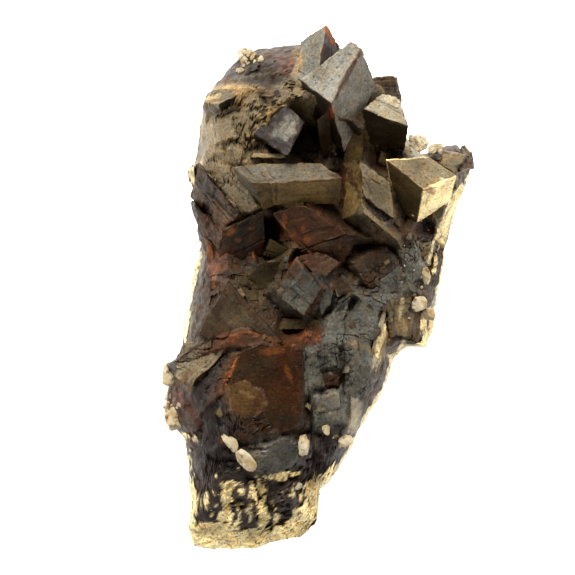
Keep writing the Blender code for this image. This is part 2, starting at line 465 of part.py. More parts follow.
def settle(thing):
    """Apply the modifiers and keep the outer shell alone, so that no hollow is sealed inside."""
    graph = bpy.context.evaluated_depsgraph_get()
    mesh = bpy.data.meshes.new_from_object(thing.evaluated_get(graph), depsgraph=graph)
    shape = bmesh.new()
    shape.from_mesh(mesh)
    seen, islands = set(), []
    for vertex in shape.verts:
        if vertex not in seen:
            islands.append(island_of(vertex, seen))
    islands.sort(key=len)
    spare = [vertex for island in islands[:-1] for vertex in island]
    bmesh.ops.delete(shape, geom=spare, context='VERTS')
    shape.to_mesh(mesh)
    shape.free()
    thing.modifiers.clear()
    thing.data = mesh


def build():
    clear_scene()
    blocks = make_guide_collection('blocks')
    pockets = make_guide_collection('pockets')
    draw = np.random.default_rng(5)
    for row in CRYSTALS:
        top, low = crystal_ends(row)
        build_block(row[0], top, low, blocks)
        add_growth_step(row[0], top, draw, blocks)
    scatter_chips(blocks)
    build_grains(pockets)
    plate = build_plate()
    cutter = build_plate_cutter()
    crust = build_crust()
    add_boolean(crust, 'UNION', collection=blocks)
    add_boolean(crust, 'DIFFERENCE', target=cutter)
    add_boolean(crust, 'DIFFERENCE', collection=pockets)
    settle(crust)
    add_boolean(plate, 'DIFFERENCE', collection=pockets)


build()
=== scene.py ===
# Siderite specimen, dressed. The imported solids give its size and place, and this script gives
# the crystals, the crust, the pale rock and the grains their fine surface and their finish.

import json
import math
import bpy
import numpy as np
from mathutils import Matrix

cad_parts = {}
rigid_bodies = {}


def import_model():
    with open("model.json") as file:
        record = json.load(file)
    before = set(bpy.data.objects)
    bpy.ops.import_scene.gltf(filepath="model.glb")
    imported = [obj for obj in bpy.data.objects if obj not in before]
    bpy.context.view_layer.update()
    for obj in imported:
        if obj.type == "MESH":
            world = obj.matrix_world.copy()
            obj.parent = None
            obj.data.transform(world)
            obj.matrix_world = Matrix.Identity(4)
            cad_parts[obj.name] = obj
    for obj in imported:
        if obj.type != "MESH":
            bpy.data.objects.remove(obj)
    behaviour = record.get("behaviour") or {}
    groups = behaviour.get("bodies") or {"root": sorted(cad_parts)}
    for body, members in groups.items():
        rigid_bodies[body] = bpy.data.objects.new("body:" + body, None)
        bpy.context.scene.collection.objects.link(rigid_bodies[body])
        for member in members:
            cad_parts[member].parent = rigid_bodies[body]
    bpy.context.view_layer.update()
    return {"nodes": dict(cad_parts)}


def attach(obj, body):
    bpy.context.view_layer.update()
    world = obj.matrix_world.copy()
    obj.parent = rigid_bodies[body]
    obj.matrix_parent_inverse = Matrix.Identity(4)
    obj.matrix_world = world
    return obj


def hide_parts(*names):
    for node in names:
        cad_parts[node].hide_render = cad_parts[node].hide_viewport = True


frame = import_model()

mm = 0.001
print('frame loaded')


# a fixed number from 0 to 1 for each whole-number cell: its indices times primes, folded twice
def cellValue(i, j, k, seed):
    n = i * 374761393 + j * 668265263 + k * 1442695041 + seed * 1274126177
    n = (n ^ (n >> 13)) * 1103515245
    n = n ^ (n >> 16)
    return (n & 0xFFFFF) / 0xFFFFF


# smooth noise from -1 to 1: the values at a cell's eight corners, blended by 3t^2 - 2t^3
def smoothNoise(points, size, seed):
    p = points / size
    low = np.floor(p).astype(np.int64)
    t = p - low
    t = t * t * (3 - 2 * t)
    total = np.zeros(len(points))
    for dx in (0, 1):
        for dy in (0, 1):
            for dz in (0, 1):
                weight = ((t[:, 0] if dx else 1 - t[:, 0]) * (t[:, 1] if dy else 1 - t[:, 1])
                          * (t[:, 2] if dz else 1 - t[:, 2]))
                total += weight * cellValue(low[:, 0] + dx, low[:, 1] + dy, low[:, 2] + dz, seed)
    return total * 2 - 1


# noise in layers, each half the size and half the strength of the one before
def layeredNoise(points, size, layers, seed):
    total, strength, reach = np.zeros(len(points)), 1.0, 0.0
    for layer in range(layers):
        total += strength * smoothNoise(points, size / 2 ** layer, seed + layer)
        reach += strength
        strength *= 0.5
    return total / reach


# rounded grains from 0 to 1: one point is thrown into each cell, and the height falls with the
# square of the distance to the nearest one
def grainNoise(points, size, seed):
    p = points / size
    low = np.floor(p).astype(np.int64)
    nearest = np.full(len(points), 9.0)
    for dx in (-1, 0, 1):
        for dy in (-1, 0, 1):
            for dz in (-1, 0, 1):
                i, j, k = low[:, 0] + dx, low[:, 1] + dy, low[:, 2] + dz
                away = ((i + cellValue(i, j, k, seed) - p[:, 0]) ** 2
                        + (j + cellValue(i, j, k, seed + 1) - p[:, 1]) ** 2
                        + (k + cellValue(i, j, k, seed + 2) - p[:, 2]) ** 2)
                nearest = np.minimum(nearest, away)
    return np.clip(1 - nearest / 0.75, 0, 1)


# a number from 0 to 1 for each tile of an uneven wall: rows of one width, each slid by its own
# amount, with waved joints
def tileValue(u, v, width, seed):
    flat = np.stack([u, v, np.full_like(u, seed * 3.7)], 1)
    wave = smoothNoise(flat, width * 1.7, seed) * width * 0.3
    row = np.floor((v + wave) / width).astype(np.int64)
    slide = cellValue(row, row * 0, row * 0, seed) * width * 2
    column = np.floor((u + slide - wave) / (width * 1.7)).astype(np.int64)
    return cellValue(column, row, row * 0, seed + 1)


# 0 below one limit and 1 above the other, eased between them by 3t^2 - 2t^3
def smoothStep(low, high, value):
    t = np.clip((value - low) / (high - low), 0, 1)
    return t * t * (3 - 2 * t)


# the skin of a block of cells: the points of a lattice that lie on its outside, as shares of
# its three edges, and the squares between them with their faces outwards
def blockSkin(nu, nv, nw):
    i, j, k = np.indices((nu + 1, nv + 1, nw + 1))
    outside = (i == 0) | (i == nu) | (j == 0) | (j == nv) | (k == 0) | (k == nw)
    number = np.full(i.shape, -1)
    number[outside] = np.arange(outside.sum())
    shares = np.stack([i[outside] / nu, j[outside] / nv, k[outside] / nw], 1)

    def squares(a):
        return np.stack([a[:-1, :-1], a[1:, :-1], a[1:, 1:], a[:-1, 1:]], -1).reshape(-1, 4)
    sides = [squares(number[0])[:, ::-1], squares(number[-1]),
             squares(number[:, 0]), squares(number[:, -1])[:, ::-1],
             squares(number[:, :, 0])[:, ::-1], squares(number[:, :, -1])]
    return shares, np.concatenate(sides)


# put points in millimetres and squares into a mesh, with named colours, numbers and vectors
def meshFrom(name, points, faces, colours=None, numbers=None, vectors=None):
    mesh = bpy.data.meshes.new(name)
    mesh.vertices.add(len(points))
    mesh.vertices.foreach_set('co', (points * mm).astype(np.float32).ravel())
    corners = faces.shape[1]
    mesh.loops.add(faces.size)
    mesh.loops.foreach_set('vertex_index', faces.astype(np.int32).ravel())
    mesh.polygons.add(len(faces))
    mesh.polygons.foreach_set('loop_start', np.arange(0, faces.size, corners, dtype=np.int32))
    mesh.update(calc_edges=True)
    for key, values in (colours or {}).items():
        layer = mesh.attributes.new(key, 'FLOAT_COLOR', 'POINT')
        rgba = np.concatenate([values, np.ones((len(values), 1))], 1)
        layer.data.foreach_set('color', rgba.astype(np.float32).ravel())
    for key, values in (numbers or {}).items():
        layer = mesh.attributes.new(key, 'FLOAT', 'POINT')
        layer.data.foreach_set('value', values.astype(np.float32))
    for key, values in (vectors or {}).items():
        layer = mesh.attributes.new(key, 'FLOAT_VECTOR', 'POINT')
        layer.data.foreach_set('vector', values.astype(np.float32).ravel())
    return mesh


def objectFrom(name, mesh, collection=None):
    piece = bpy.data.objects.new(name, mesh)
    (collection or bpy.context.scene.collection).objects.link(piece)
    return piece


# the camera looks straight down on the specimen, a metre above it, as the photograph does; frame
# and centre, where the origin falls, are in pixels
view = dict(mmPerPixel=0.1786, frame=575, centre=(317, 290), height=1.0, focus=0.022, sensor=36.0)


def buildCamera():
    data = bpy.data.cameras.new('camera')
    data.sensor_width = view['sensor']
    width = view['frame'] * view['mmPerPixel'] * mm
    data.lens = view['sensor'] * (view['height'] - view['focus']) / width
    data.clip_start, data.clip_end = 0.05, 20
    camera = bpy.data.objects.new('camera', data)
    bpy.context.scene.collection.objects.link(camera)
    half = view['frame'] / 2
    camera.location = ((half - view['centre'][0]) * view['mmPerPixel'] * mm,
                       (view['centre'][1] - half) * view['mmPerPixel'] * mm, view['height'])
    bpy.context.scene.camera = camera


# the outline of the specimen, clockwise from the upper left: x, y, and how far the crust and
# the pale rock stand in from it, all in millimetres
outline = np.array((
    (-17, 39.5, 0.5, 2), (-13, 43.5, 0.5, 2), (-10, 43.5, 0, 2.5), (-5.5, 44.5, 0.5, 3),
    (-2, 46, 1.5, 3.5), (1.5, 47, 2, 4), (6.5, 44.5, 2, 4), (9, 42.5, 2, 4), (10.5, 38.5, 1, 3),
    (14, 38.5, 1, 3), (15, 35, 1, 3), (16.5, 28.5, 1, 2.5), (20, 25.5, 1.5, 1.5),
    (25.5, 26.5, 0.3, 2), (28, 22.5, 0, 1.5), (27, 18, 0.6, 0.5), (25, 13.5, 1, 0),
    (24, 8, 1, 0), (23, 2.5, 1, 0), (21.5, -3.5, 1, 0), (20.5, -10.5, 1, 0),
    (17, -10.5, 1, 0), (14, -12.5, 1, 0), (12.5, -18, 1, 0), (9.5, -22.5, 1, 0),
    (7, -27.5, 1, 0), (4, -33, 1.2, 0), (0.5, -37, 1, 0), (0, -43, 1, 0), (-3, -45.5, 0.9, 0),
    (-8.5, -46, 0.8, 0), (-12, -47.5, 0.9, 0), (-16.5, -47.5, 0.9, 0), (-22.5, -47, 1, 0),
    (-23.5, -44, 1.2, 0), (-23, -39.5, 1.5, 0), (-23.5, -32, 1, 0.5), (-24.5, -27.5, 1, 0.5),
    (-27, -24.5, 1, 0.5), (-28, -22, 1.5, 0), (-27.5, -17, 1.5, 0), (-28.5, -14.5, 1, 0.5),
    (-25, -12, 1, 0.5), (-24.5, -7, 1, 0), (-23.5, -2.5, 1, 0), (-22.5, 2, 1, 0),
    (-22, 6.5, 1.5, 0), (-21.5, 11.5, 1, 0.5), (-22.5, 18, 0.5, 1), (-23, 21, 0.5, 1.5),
    (-21.5, 26, 0.5, 1.5), (-21, 31.5, 0.5, 2), (-20, 35.5, 0.5, 2),
), float)
centre = np.array((-3.0, 0.0))
crustColumn, rockColumn = 2, 3


# distance from the centre to the outline at each angle, less the inset in one column
def outlineRadius(angles, column):
    x, y = outline[:, 0] - centre[0], outline[:, 1] - centre[1]
    turn = np.arctan2(y, x)
    order = np.argsort(turn)
    radii = (np.hypot(x, y) - outline[:, column])[order]
    return np.interp(angles, turn[order], radii, period=2 * math.pi)


# a closed body from rings of points, counted from its underside, out and in over its top
def ringBody(rings):
    rings = np.array(rings)
    count, steps = rings.shape[:2]
    points = rings.reshape(-1, 3)
    number = np.arange(count * steps).reshape(count, steps)
    after = np.roll(number, -1, axis=1)
    faces = np.stack([number[:-1], after[:-1], after[1:], number[1:]], -1).reshape(-1, 4)
    low, high = points[:steps].mean(0), points[-steps:].mean(0)
    points = np.concatenate([points, [low, high]])
    lowFan = np.stack([after[0], number[0], number[0] * 0 + count * steps], -1)
    highFan = np.stack([number[-1], after[-1], number[-1] * 0 + count * steps + 1], -1)
    triangles = np.concatenate([faces[:, [0, 1, 2]], faces[:, [0, 2, 3]], lowFan, highFan])
    return points, triangles


# the fine surface of a crystal face, in millimetres: the cell of its mesh, how much a crystal
# given by its depth widens, then how deep and, under Size, how broad its growth plates, flakes,
# earthy grain, pits, clefts along the cleavage and chipped edges are
crystalRelief = dict(cell=0.27, flare=1.05, smoothAngle=38, calmUnder=3.5,
                     swell=0.12, swellSize=5.5, plate=0.20, plateSize=3.4,
                     flake=0.07, flakeSize=1.1, grain=0.06, grainSize=0.9, pit=0.16, pitSize=0.8,
                     edge=0.24, edgeReach=0.4, chipSize=1.4,
                     clefts=2, cleft=0.30, cleftWidth=0.12, jog=1.3, jogSize=2.2)


# how far each point of a face is pushed outwards; u and v are its places on the face in
# millimetres. Growth plates are uneven tiles sunk by one or two steps, clefts are narrow bell
# curves across a jogging line that fade in and out, and edges are nibbled where a noise is high
def facePush(u, v, lengthU, lengthV, strength, seed):
    relief = crystalRelief
    flat = np.stack([u, v, np.full_like(u, seed * 7.3)], 1)
    broad = smoothNoise(flat, relief['swellSize'], seed)
    push = relief['swell'] * broad
    plates = tileValue(u, v, relief['plateSize'], seed) * 0.6 + (broad * 0.5 + 0.5) * 0.6
    steps = smoothStep(0.62, 0.64, plates) + smoothStep(0.84, 0.86, plates)
    push -= relief['plate'] * steps * strength
    flakes = tileValue(v, u, relief['flakeSize'], seed + 3)
    push -= relief['flake'] * smoothStep(0.72, 0.74, flakes) * strength
    push += relief['grain'] * layeredNoise(flat, relief['grainSize'], 2, seed + 5)
    pits = (smoothNoise(flat, relief['pitSize'], seed + 11) - 0.42).clip(0, 1)
    push -= relief['pit'] * pits * (0.5 + strength)
    for line in range(relief['clefts']):
        along, across, reach = (u, v, lengthV) if line % 2 else (v, u, lengthU)
        spot = float(cellValue(np.array([seed]), np.array([line]), np.array([0]), 77)[0])
        jog = (tileValue(along, along * 0, relief['jogSize'], seed + line) - 0.5) * relief['jog']
        place = reach * (0.15 + 0.7 * spot) + jog
        fading = smoothNoise(flat, 4.5, seed + 40 + line) + strength * 0.4 - 0.3
        shown = smoothStep(0.0, 0.4, fading)
        push -= relief['cleft'] * shown * np.exp(-((across - place) / relief['cleftWidth']) ** 2)
    away = np.minimum(np.minimum(u, lengthU - u), np.minimum(v, lengthV - v)).clip(0)
    chip = (smoothNoise(flat, relief['chipSize'], seed + 31) + 0.1).clip(0, 1)
    push -= relief['edge'] * np.exp(-away / relief['edgeReach']) * chip * (0.4 + strength)
    return push


# colours of the siderite faces, linear. Besides the mineral's own colours they hold painted
# light and shade: the pale tone is painted light and the bluish grey one a painted sheen on
# faces turned to the light, and dark is also the painted shade of faces turned away
tones = dict(
    grey=(0.120, 0.104, 0.072), blue=(0.205, 0.196, 0.158), pale=(0.330, 0.290, 0.195),
    steel=(0.086, 0.084, 0.068), tan=(0.160, 0.125, 0.068), ochre=(0.150, 0.100, 0.034),
    olive=(0.082, 0.058, 0.022), brown=(0.066, 0.041, 0.021), dark=(0.026, 0.018, 0.010),
    rust=(0.056, 0.024, 0.010), plum=(0.040, 0.030, 0.026), amber=(0.032, 0.014, 0.004),
    cream=(0.950, 0.800, 0.420), fawn=(0.235, 0.188, 0.112), flame=(0.240, 0.078, 0.018),
    honey=(0.078, 0.040, 0.013), redbrown=(0.034, 0.010, 0.003), gold=(0.260, 0.175, 0.070),
    slate=(0.150, 0.138, 0.112),
)


# each crystal's tone is a little lighter or darker than the table's, by a factor of its own
def toneShift(number):
    return cellValue(np.array([number]), np.array([3]), np.array([1]), 5)[0] * 0.3 + 0.85


# the crystals, in millimetres: the four corners of the main face in order round it, then the
# four corners at the other end or how deep the crystal runs down from its face; the tones of
# the main face and of the faces along its first and its last edge, which are partly painted
# light and shade, lighter on faces turned to the light and darker on faces turned away; how
# rusty it is, and how strong its relief is
crystals = (
    ('crownRight', (2.4, 32.8, 35), (7.9, 42.8, 30.5), (10.6, 36.6, 26), (4.8, 24.5, 26),
     ((-3.2, 37.1, 32.2), (6, 44.1, 30), (7, 40.2, 18), (0.2, 28.2, 22.5)),
     'slate blue dark', 0.35, 0.35),
    ('crownLeft', (-0.1, 35.2, 32.3), (1.7, 47, 29.8), (-3, 44.2, 27), (-3.6, 37.4, 30.6),
     ((2.9, 31.8, 22), (4.1, 43.5, 24.5), (-1.9, 43.2, 15), (-2.7, 36.9, 18)),
     'blue rust brown', 0.3, 0.35),
    ('crownRear', (6.9, 32.7, 27), (11.9, 34.2, 23.5), (12.3, 35.7, 23.5), (10.7, 36.8, 25.5),
     8, 'tan tan brown', 0.15, 0.6),
    ('crownStep', (-2.5, 29.8, 34), (1.3, 30.7, 33.5), (0.8, 34.1, 32.8), (-4.8, 36.1, 31.5),
     13, 'tan brown brown', 0.2, 1.1),
    ('crownFoot', (-5.4, 23.6, 35), (-2.2, 29.8, 34), (-5.9, 32.9, 32), (-11.6, 27.6, 31),
     14, 'plum dark dark', 0.05, 0.9),
    ('crownBack', (-5.7, 32.5, 31.5), (-4.8, 35.9, 31), (-9.8, 35.1, 28.5), (-9.8, 31.9, 29),
     12, 'tan brown dark', 0.2, 1.2),
    ('crownChip', (-4.3, 36.4, 31.5), (-0.6, 37.1, 32.3), (-2.7, 39.3, 30.5), (-4.5, 38.3, 29),
     10, 'tan brown dark', 0.2, 0.8),
    ('shoulder', (-11.6, 27.3, 31), (-5.7, 32.6, 31), (-9.8, 32.3, 29), (-13.7, 30.9, 29),
     12, 'tan brown dark', 0.1, 1.2),
    ('shoulderCube', (-14.4, 26.9, 30), (-11.6, 27.1, 31), (-12.3, 30.6, 30.3), (-15.5, 30.5, 29),
     11, 'tan brown dark', 0.15, 0.6),
    ('pitCube', (-10.9, 25.2, 28.5), (-8.7, 25.2, 28.5), (-8.9, 27, 28), (-11.2, 27, 27.5),
     8, 'tan dark dark', 0.1, 0.5),
    ('pitSill', (-11.9, 23.4, 31.5), (-5.7, 23.3, 32), (-5.5, 24.2, 31.5), (-11.6, 24.4, 30.5),
     8, 'tan dark dark', 0.1, 0.6),
    ('leftWedge', (-17.7, 32.6, 31), (-11.9, 35.7, 28), (-18.3, 36.1, 26), (-20.3, 33.9, 27),
     ((-15.9, 29.9, 24), (-11.6, 33.2, 22), (-17, 34.1, 17), (-20, 29, 21)),
     'tan dark tan', 0.1, 0.6),
    ('leftSlope', (-12.6, 22.3, 32), (-14.2, 29.8, 30), (-20.8, 31, 25.5), (-22.1, 23.5, 24.5),
     13, 'tan dark brown', 0.1, 1.4),
    ('leftSmooth', (-13.7, 13.5, 27), (-10.3, 14.4, 26.5), (-14.9, 21.6, 31), (-21.2, 22.8, 25.5),
     12, 'fawn brown brown', 0.1, 0.5),
    ('leftBig', (-21.2, 22.6, 26), (-13.7, 13.5, 27.5), (-17, 10.3, 23.5), (-22.6, 16.5, 19),
     9, 'brown dark brown', 0.55, 1),
    ('leftTip', (-23.3, 21.5, 20), (-22, 22.5, 23), (-21.6, 18.6, 21), (-22.8, 19, 18),
     6, 'cream tan brown', 0.5, 0.6),
    ('leftLow', (-22.2, 15.9, 19.5), (-16.9, 10.3, 24), (-18.1, 0.7, 19), (-20.1, 5, 17),
     8, 'brown brown dark', 0.75, 1),
    ('leftFacet', (-17.1, 10.7, 25.5), (-9.4, 14, 28), (-9.1, 6.1, 21.5), (-18.2, 0.5, 20),
     9, 'dark brown dark', 0.8, 0.6),
    ('topLens', (-14.5, 39.5, 22.5), (-8, 38.2, 23), (-5.4, 42, 21), (-12.5, 41.7, 20.5),
     9, 'plum dark plum', 0.1, 0.8),
    ('topShade', (-8, 38.2, 22.5), (-3.6, 36.5, 21), (-3.6, 41.2, 19.5), (-5.4, 42, 20.5),
     8, 'dark dark dark', 0.2, 0.8),
    ('topBand', (-17.2, 36.6, 21.5), (-3.6, 36.3, 22), (-8, 38.1, 21), (-14.5, 38.8, 20),
     9, 'plum olive dark', 0.15, 1),
    ('topBack', (-9.8, 41.5, 19.5), (-4.8, 42.4, 20), (-5.2, 44.5, 17.5), (-10.4, 43.1, 17),
     7, 'brown plum plum', 0.4, 1.2),
    ('topRust', (-4.8, 37.2, 21), (-2.5, 37.9, 22), (-2.1, 43.7, 20), (-5.2, 43.7, 19),
     8, 'brown rust dark', 0.95, 1.4),
    ('brickRight', (-8.4, 18.7, 36), (4.5, 19.8, 32.5), (0.8, 22.8, 30.5), (-11, 22.2, 33.5),
     ((-8, 14.9, 29.5), (4.2, 15.3, 27), (1.4, 20.5, 22), (-9.1, 19.6, 24)),
     'grey ochre dark', 0.25, 0.4),
    ('brickLeft', (-11.7, 18.7, 35.4), (-7.1, 18.8, 35.9), (-9.4, 22.4, 33.6), (-15.1, 21.7, 33),
     ((-9.3, 14.2, 27.5), (-6.8, 15.1, 28), (-8.7, 19.6, 24), (-13, 17.4, 26)),
     'grey ochre olive', 0.15, 0.4),
    ('finLeft', (-0.2, 29.9, 32), (2.2, 32, 33), (2.8, 24.1, 23), (0.9, 23.6, 22),
     9, 'brown dark dark', 0.3, 0.4),
    ('finBack', (6.2, 31.4, 27.5), (8.7, 30.6, 26.5), (8.2, 22.6, 24), (4.3, 21.8, 23),
     8, 'ochre olive dark', 0.1, 0.4),
    ('spineBody', (8.1, 13.8, 30.8), (7.8, 22.7, 29.6), (13.3, 18.9, 24.6), (14.2, 8.9, 24.6),
     ((4.4, 12.6, 25.5), (5.1, 21.4, 25), (9.6, 16.2, 15), (10.6, 6.6, 19.5)),
     'dark ochre olive', 0.15, 0.5),
    ('spinePlate', (8.1, 16.6, 32.3), (7.7, 23, 31.6), (13.1, 19.4, 26.6), (13.7, 12.8, 26.3),
     3.5, 'tan ochre dark', 0.2, 0.5),
    ('spineStrip', (8.1, 13.6, 32.2), (8.1, 14.9, 32.1), (14.4, 9.6, 26.4), (14.4, 8.7, 26),
     3, 'tan olive olive', 0.3, 0.4),
    ('earBack', (10.9, 34.3, 22), (15.2, 34, 20), (14.3, 38.4, 21), (10, 38, 23),
     9, 'brown tan brown', 0.3, 1.3),
    ('earBlock', (7.9, 32.1, 28.5), (16.3, 29, 26.5), (15, 34.3, 23), (11.7, 35.3, 24.5),
     ((8.8, 26.3, 20.5), (15.8, 24.9, 18), (15, 32.4, 14), (11.4, 34.2, 14)),
     'pale dark dark', 0.05, 0.5),
    ('fang', (18.9, 17.7, 30), (12.2, 23.4, 27.5), (13.8, 15.4, 20), (17.9, 11.8, 20),
     ((24.9, 20.4, 26.5), (19.8, 23.7, 24.5), (18.6, 18, 14), (23.9, 15.6, 18)),
     'olive tan cream', 0.1, 0.35),
    ('fangSide', (18.3, 22.3, 24), (19.2, 22.6, 23.5), (17.3, 26.8, 21), (16.3, 26.3, 21),
     6, 'pale steel dark', 0, 0.8),
    ('nose', (21.6, 22.3, 24), (24.9, 20.7, 24.4), (27.1, 24.1, 22.5), (22.7, 25.2, 22.5),
     7, 'tan tan brown', 0.1, 0.8),
    ('noseDark', (20.2, 24.1, 21.5), (24.6, 24.6, 22), (26, 26.7, 20), (21.5, 25.8, 20),
     7, 'brown plum dark', 0.1, 1.3),
    ('noseTip', (25.1, 20.9, 23.5), (28.3, 21.8, 21), (27.9, 24.7, 19.5), (25.9, 26.1, 20.5),
     8, 'brown tan brown', 0.2, 1.2),
    ('slabTip', (24.4, 16.1, 18.5), (26, 19, 19), (28.3, 21.1, 18.5), (27.6, 18.5, 18),
     7, 'cream tan cream', 0.1, 0.8),
    ('slabOuter', (23.8, 16.1, 19.5), (25.8, 17, 19), (22.3, 9, 17), (21, 9, 17.5),
     7, 'cream tan tan', 0.25, 0.8),
    ('slabInner', (21.5, 15.2, 20), (23.4, 16.5, 20.5), (21, 9.9, 18.5), (19.9, 9.3, 18),
     8, 'tan brown cream', 0.2, 0.8),
    ('slabLow', (17.4, 3.9, 18), (18.5, 7.7, 19.5), (20.8, 9, 19), (19.9, 5, 17.5),
     8, 'tan brown brown', 0.1, 1),
    ('rightPurple', (15.7, 11.1, 21), (17, 7.9, 20), (21.7, 9.9, 19), (20.6, 12.2, 20),
     8, 'plum brown brown', 0.2, 1),
    ('rightMid', (14.5, 7.1, 22.5), (17.5, 8, 21.5), (18.5, 2.7, 19.5), (15.4, 0.9, 20.5),
     8, 'steel brown brown', 0.2, 1),
    ('slopeRight', (14.1, 8.9, 23), (17.7, 11.4, 22), (17, 7.2, 20.5), (14.5, 5, 21),
     7, 'brown dark brown', 0.5, 1),
    ('crustRight', (6.2, 5, 24.5), (12.1, 7.1, 24), (14.5, 5, 22.5), (9.8, 0, 23),
     8, 'brown steel steel', 0.35, 1),
    ('crustRightEdge', (9.8, -0.4, 23), (14.5, 4.6, 22.5), (17, -0, 20), (13.1, -2.1, 21),
     7, 'steel brown brown', 0.25, 1.1),
    ('heartRust', (-8, 13.7, 28), (-2.4, 15.4, 31), (5.3, 9.9, 29.5), (-3.2, 6.9, 26.5),
     9, 'rust brown brown', 0.9, 0.6),
    ('heartFront', (-3.2, 6.9, 26.3), (5.3, 9.8, 29), (5, 4.8, 24), (0.2, 5, 23),
     8, 'rust brown dark', 0.6, 0.7),
    ('heartOlive', (-8.4, 9.3, 26), (-3.6, 6.9, 26), (-6.3, 5.4, 23), (-9.8, 6.1, 23.5),
     7, 'olive dark dark', 0.05, 0.3),
    ('heartTip', (-7.1, 15.1, 29), (-4.8, 16.7, 29.5), (-2.2, 15.4, 29.8), (-3.8, 14, 29.8),
     6, 'olive olive dark', 0.1, 0.5),
    ('sliver', (-9.8, -1.4, 22.5), (-13.7, 1.1, 23.5), (-9.1, 5.3, 27), (-5.5, 5, 25.5),
     8, 'olive tan dark', 0.05, 0.4),
    ('greyA', (-2.5, -5, 25.5), (-8, -0.5, 26.5), (-3.6, 5.9, 29.5), (0.9, 0.4, 28),
     9, 'steel dark brown', 0.6, 0.8),
    ('heartLow', (-3.6, 5.9, 27.5), (0.1, 7.1, 27), (4.1, 5, 25.5), (0.9, 1.8, 26.5),
     8, 'brown rust dark', 0.65, 0.9),
    ('greyB', (0.9, -5, 24.5), (-0.9, 0.5, 26), (1, 3, 27), (3.4, -1.1, 25.5),
     9, 'steel dark dark', 0.05, 0.8),
    ('greyC', (3, -5.9, 24), (3.5, -1.8, 25.5), (6.4, 0, 25), (5.7, -3.6, 24.5),
     8, 'steel brown dark', 0.1, 0.8),
    ('greyD', (3.5, -1.4, 25), (3, 1.1, 25.5), (5.9, 1.6, 25), (6.8, -0.4, 24.5),
     7, 'brown steel dark', 0.3, 0.8),
    ('oliveSlab', (-7.3, -7.1, 22), (3, -6.8, 22.5), (3, -5.4, 23), (-7.3, -5, 22),
     6, 'olive brown dark', 0.2, 0.6),
    ('rustSill', (-6.1, -10.3, 24.2), (1.4, -9.8, 24.4), (2.3, -7.3, 23.8), (-4.8, -6.8, 23),
     7, 'rust brown dark', 0.8, 0.9),
    ('flatRhomb', (-15.7, 1.8, 28), (-6.1, -9.2, 26), (-15.9, -11, 25), (-21.2, -7.8, 24.5),
     8, 'brown dark dark', 0.3, 0.35),
    ('rhombBand', (-18.5, -11, 26), (-13.5, -7.3, 26.9), (-5.9, -9.6, 26.4), (-13.7, -10.1, 26.4),
     7, 'brown brown brown', 0.7, 0.7),
    ('ledge', (-22.5, -17.5, 23.5), (-25.9, -15.2, 22), (-24.1, -9.5, 21.5), (-13.4, -7.5, 26.5),
     9, 'fawn tan brown', 0.15, 1),
    ('ledgeLow', (-22.3, -17.7, 22.5), (-14.1, -9.2, 26), (-17, -20, 23.5), (-20.9, -21.5, 21),
     9, 'plum dark dark', 0.2, 1),
    ('ledgeMid', (-17.7, -18.9, 24.5), (-15.1, -11.9, 26.5), (-13.7, -11, 26), (-16.2, -18.2, 25),
     8, 'brown brown dark', 0.6, 0.6),
    ('ledgeFoot', (-24.9, -25.8, 18), (-21.6, -20.6, 20.5), (-16.6, -20.5, 22.5),
     (-18.8, -28.3, 19),
     8, 'plum brown dark', 0.2, 1.2),
    ('edgeLeft', (-23.7, -9, 18), (-23.5, -2.2, 19), (-21.6, -1.8, 21), (-21.5, -8.6, 20),
     7, 'cream tan cream', 0.05, 0.7),
    ('edgeLeftUp', (-22.4, -0, 20), (-22.2, 6.8, 19.5), (-20.4, 7.2, 21), (-19.8, 0.4, 21),
     8, 'steel olive dark', 0.1, 1),
    ('edgeDark', (-21.3, -5.7, 21), (-20.4, -0.9, 22), (-18, 0.4, 22.5), (-19.8, -3.9, 22),
     7, 'olive dark dark', 0.2, 0.9),
    ('flame', (-20, 5, 19.8), (-19.7, 8.9, 21.4), (-17.9, 5, 21.9), (-18.6, 0.4, 19.8),
     6, 'rust rust brown', 1.5, 0.5),
    ('lensUpper', (-15.3, -23.9, 25.2), (-2.5, -23.7, 25.2), (-3, -10.1, 26.3),
     (-13.7, -10.7, 26.8),
     9, 'amber amber dark', 0.1, 0.3),
    ('lensLower', (-10.9, -32, 20.5), (-5.2, -32, 20.5), (-2.3, -23.9, 25), (-15.3, -24, 25),
     10, 'steel plum plum', 0.05, 0.6),
    ('ribA', (-2.3, -18, 25.8), (0.9, -16.9, 25.8), (-0.2, -11, 26.6), (-3, -11, 26.6),
     9, 'steel steel dark', 0.05, 0.9),
    ('ribB', (1.4, -14.4, 26), (4.2, -14.1, 25.8), (3.5, -10, 26.3), (0.9, -10.3, 26.5),
     9, 'steel steel dark', 0.05, 0.9),
    ('ribAmber', (-0.6, -17.6, 25.2), (3.7, -17.1, 25), (4.1, -14.2, 25.4), (0.9, -14.8, 25.6),
     8, 'amber dark dark', 0.3, 0.3),
    ('ribUp', (0.9, -10, 26), (4.8, -10, 26.2), (4.8, -3.9, 25), (2.3, -5.7, 25),
     8, 'steel olive dark', 0.2, 0.8),
    ('plateGrey', (-0.2, -24.4, 23.5), (4.6, -23.2, 23.8), (4.8, -18, 24.8), (-1.1, -18.5, 25),
     9, 'steel steel dark', 0, 0.5),
    ('plateRight', (5.3, -18.7, 24.6), (9.6, -16, 23.8), (8.7, -8, 24.8), (5, -8, 25.8),
     9, 'steel steel dark', 0.05, 0.7),
    ('plateUp', (5, -7.8, 25.8), (9.1, -7.8, 24.8), (11.9, -1.8, 23.5), (6.2, -0.9, 25),
     9, 'steel brown brown', 0.2, 0.9),
    ('plateEdge', (6.2, -25.4, 22), (7.1, -25.4, 21.6), (7, -19.3, 23), (6.2, -19.3, 23.6),
     8, 'pale tan dark', 0, 0.5),
    ('bumpLow', (3.8, -30.6, 20.5), (7, -27.4, 20.5), (5.9, -23.8, 22), (2.3, -24.3, 22.5),
     8, 'plum steel plum', 0.05, 0.9),
    ('tanA', (8.4, -14.6, 22.5), (10.7, -16.1, 21), (12.9, -8.2, 21.5), (11.8, -2.5, 23),
     9, 'pale tan brown', 0.1, 0.8),
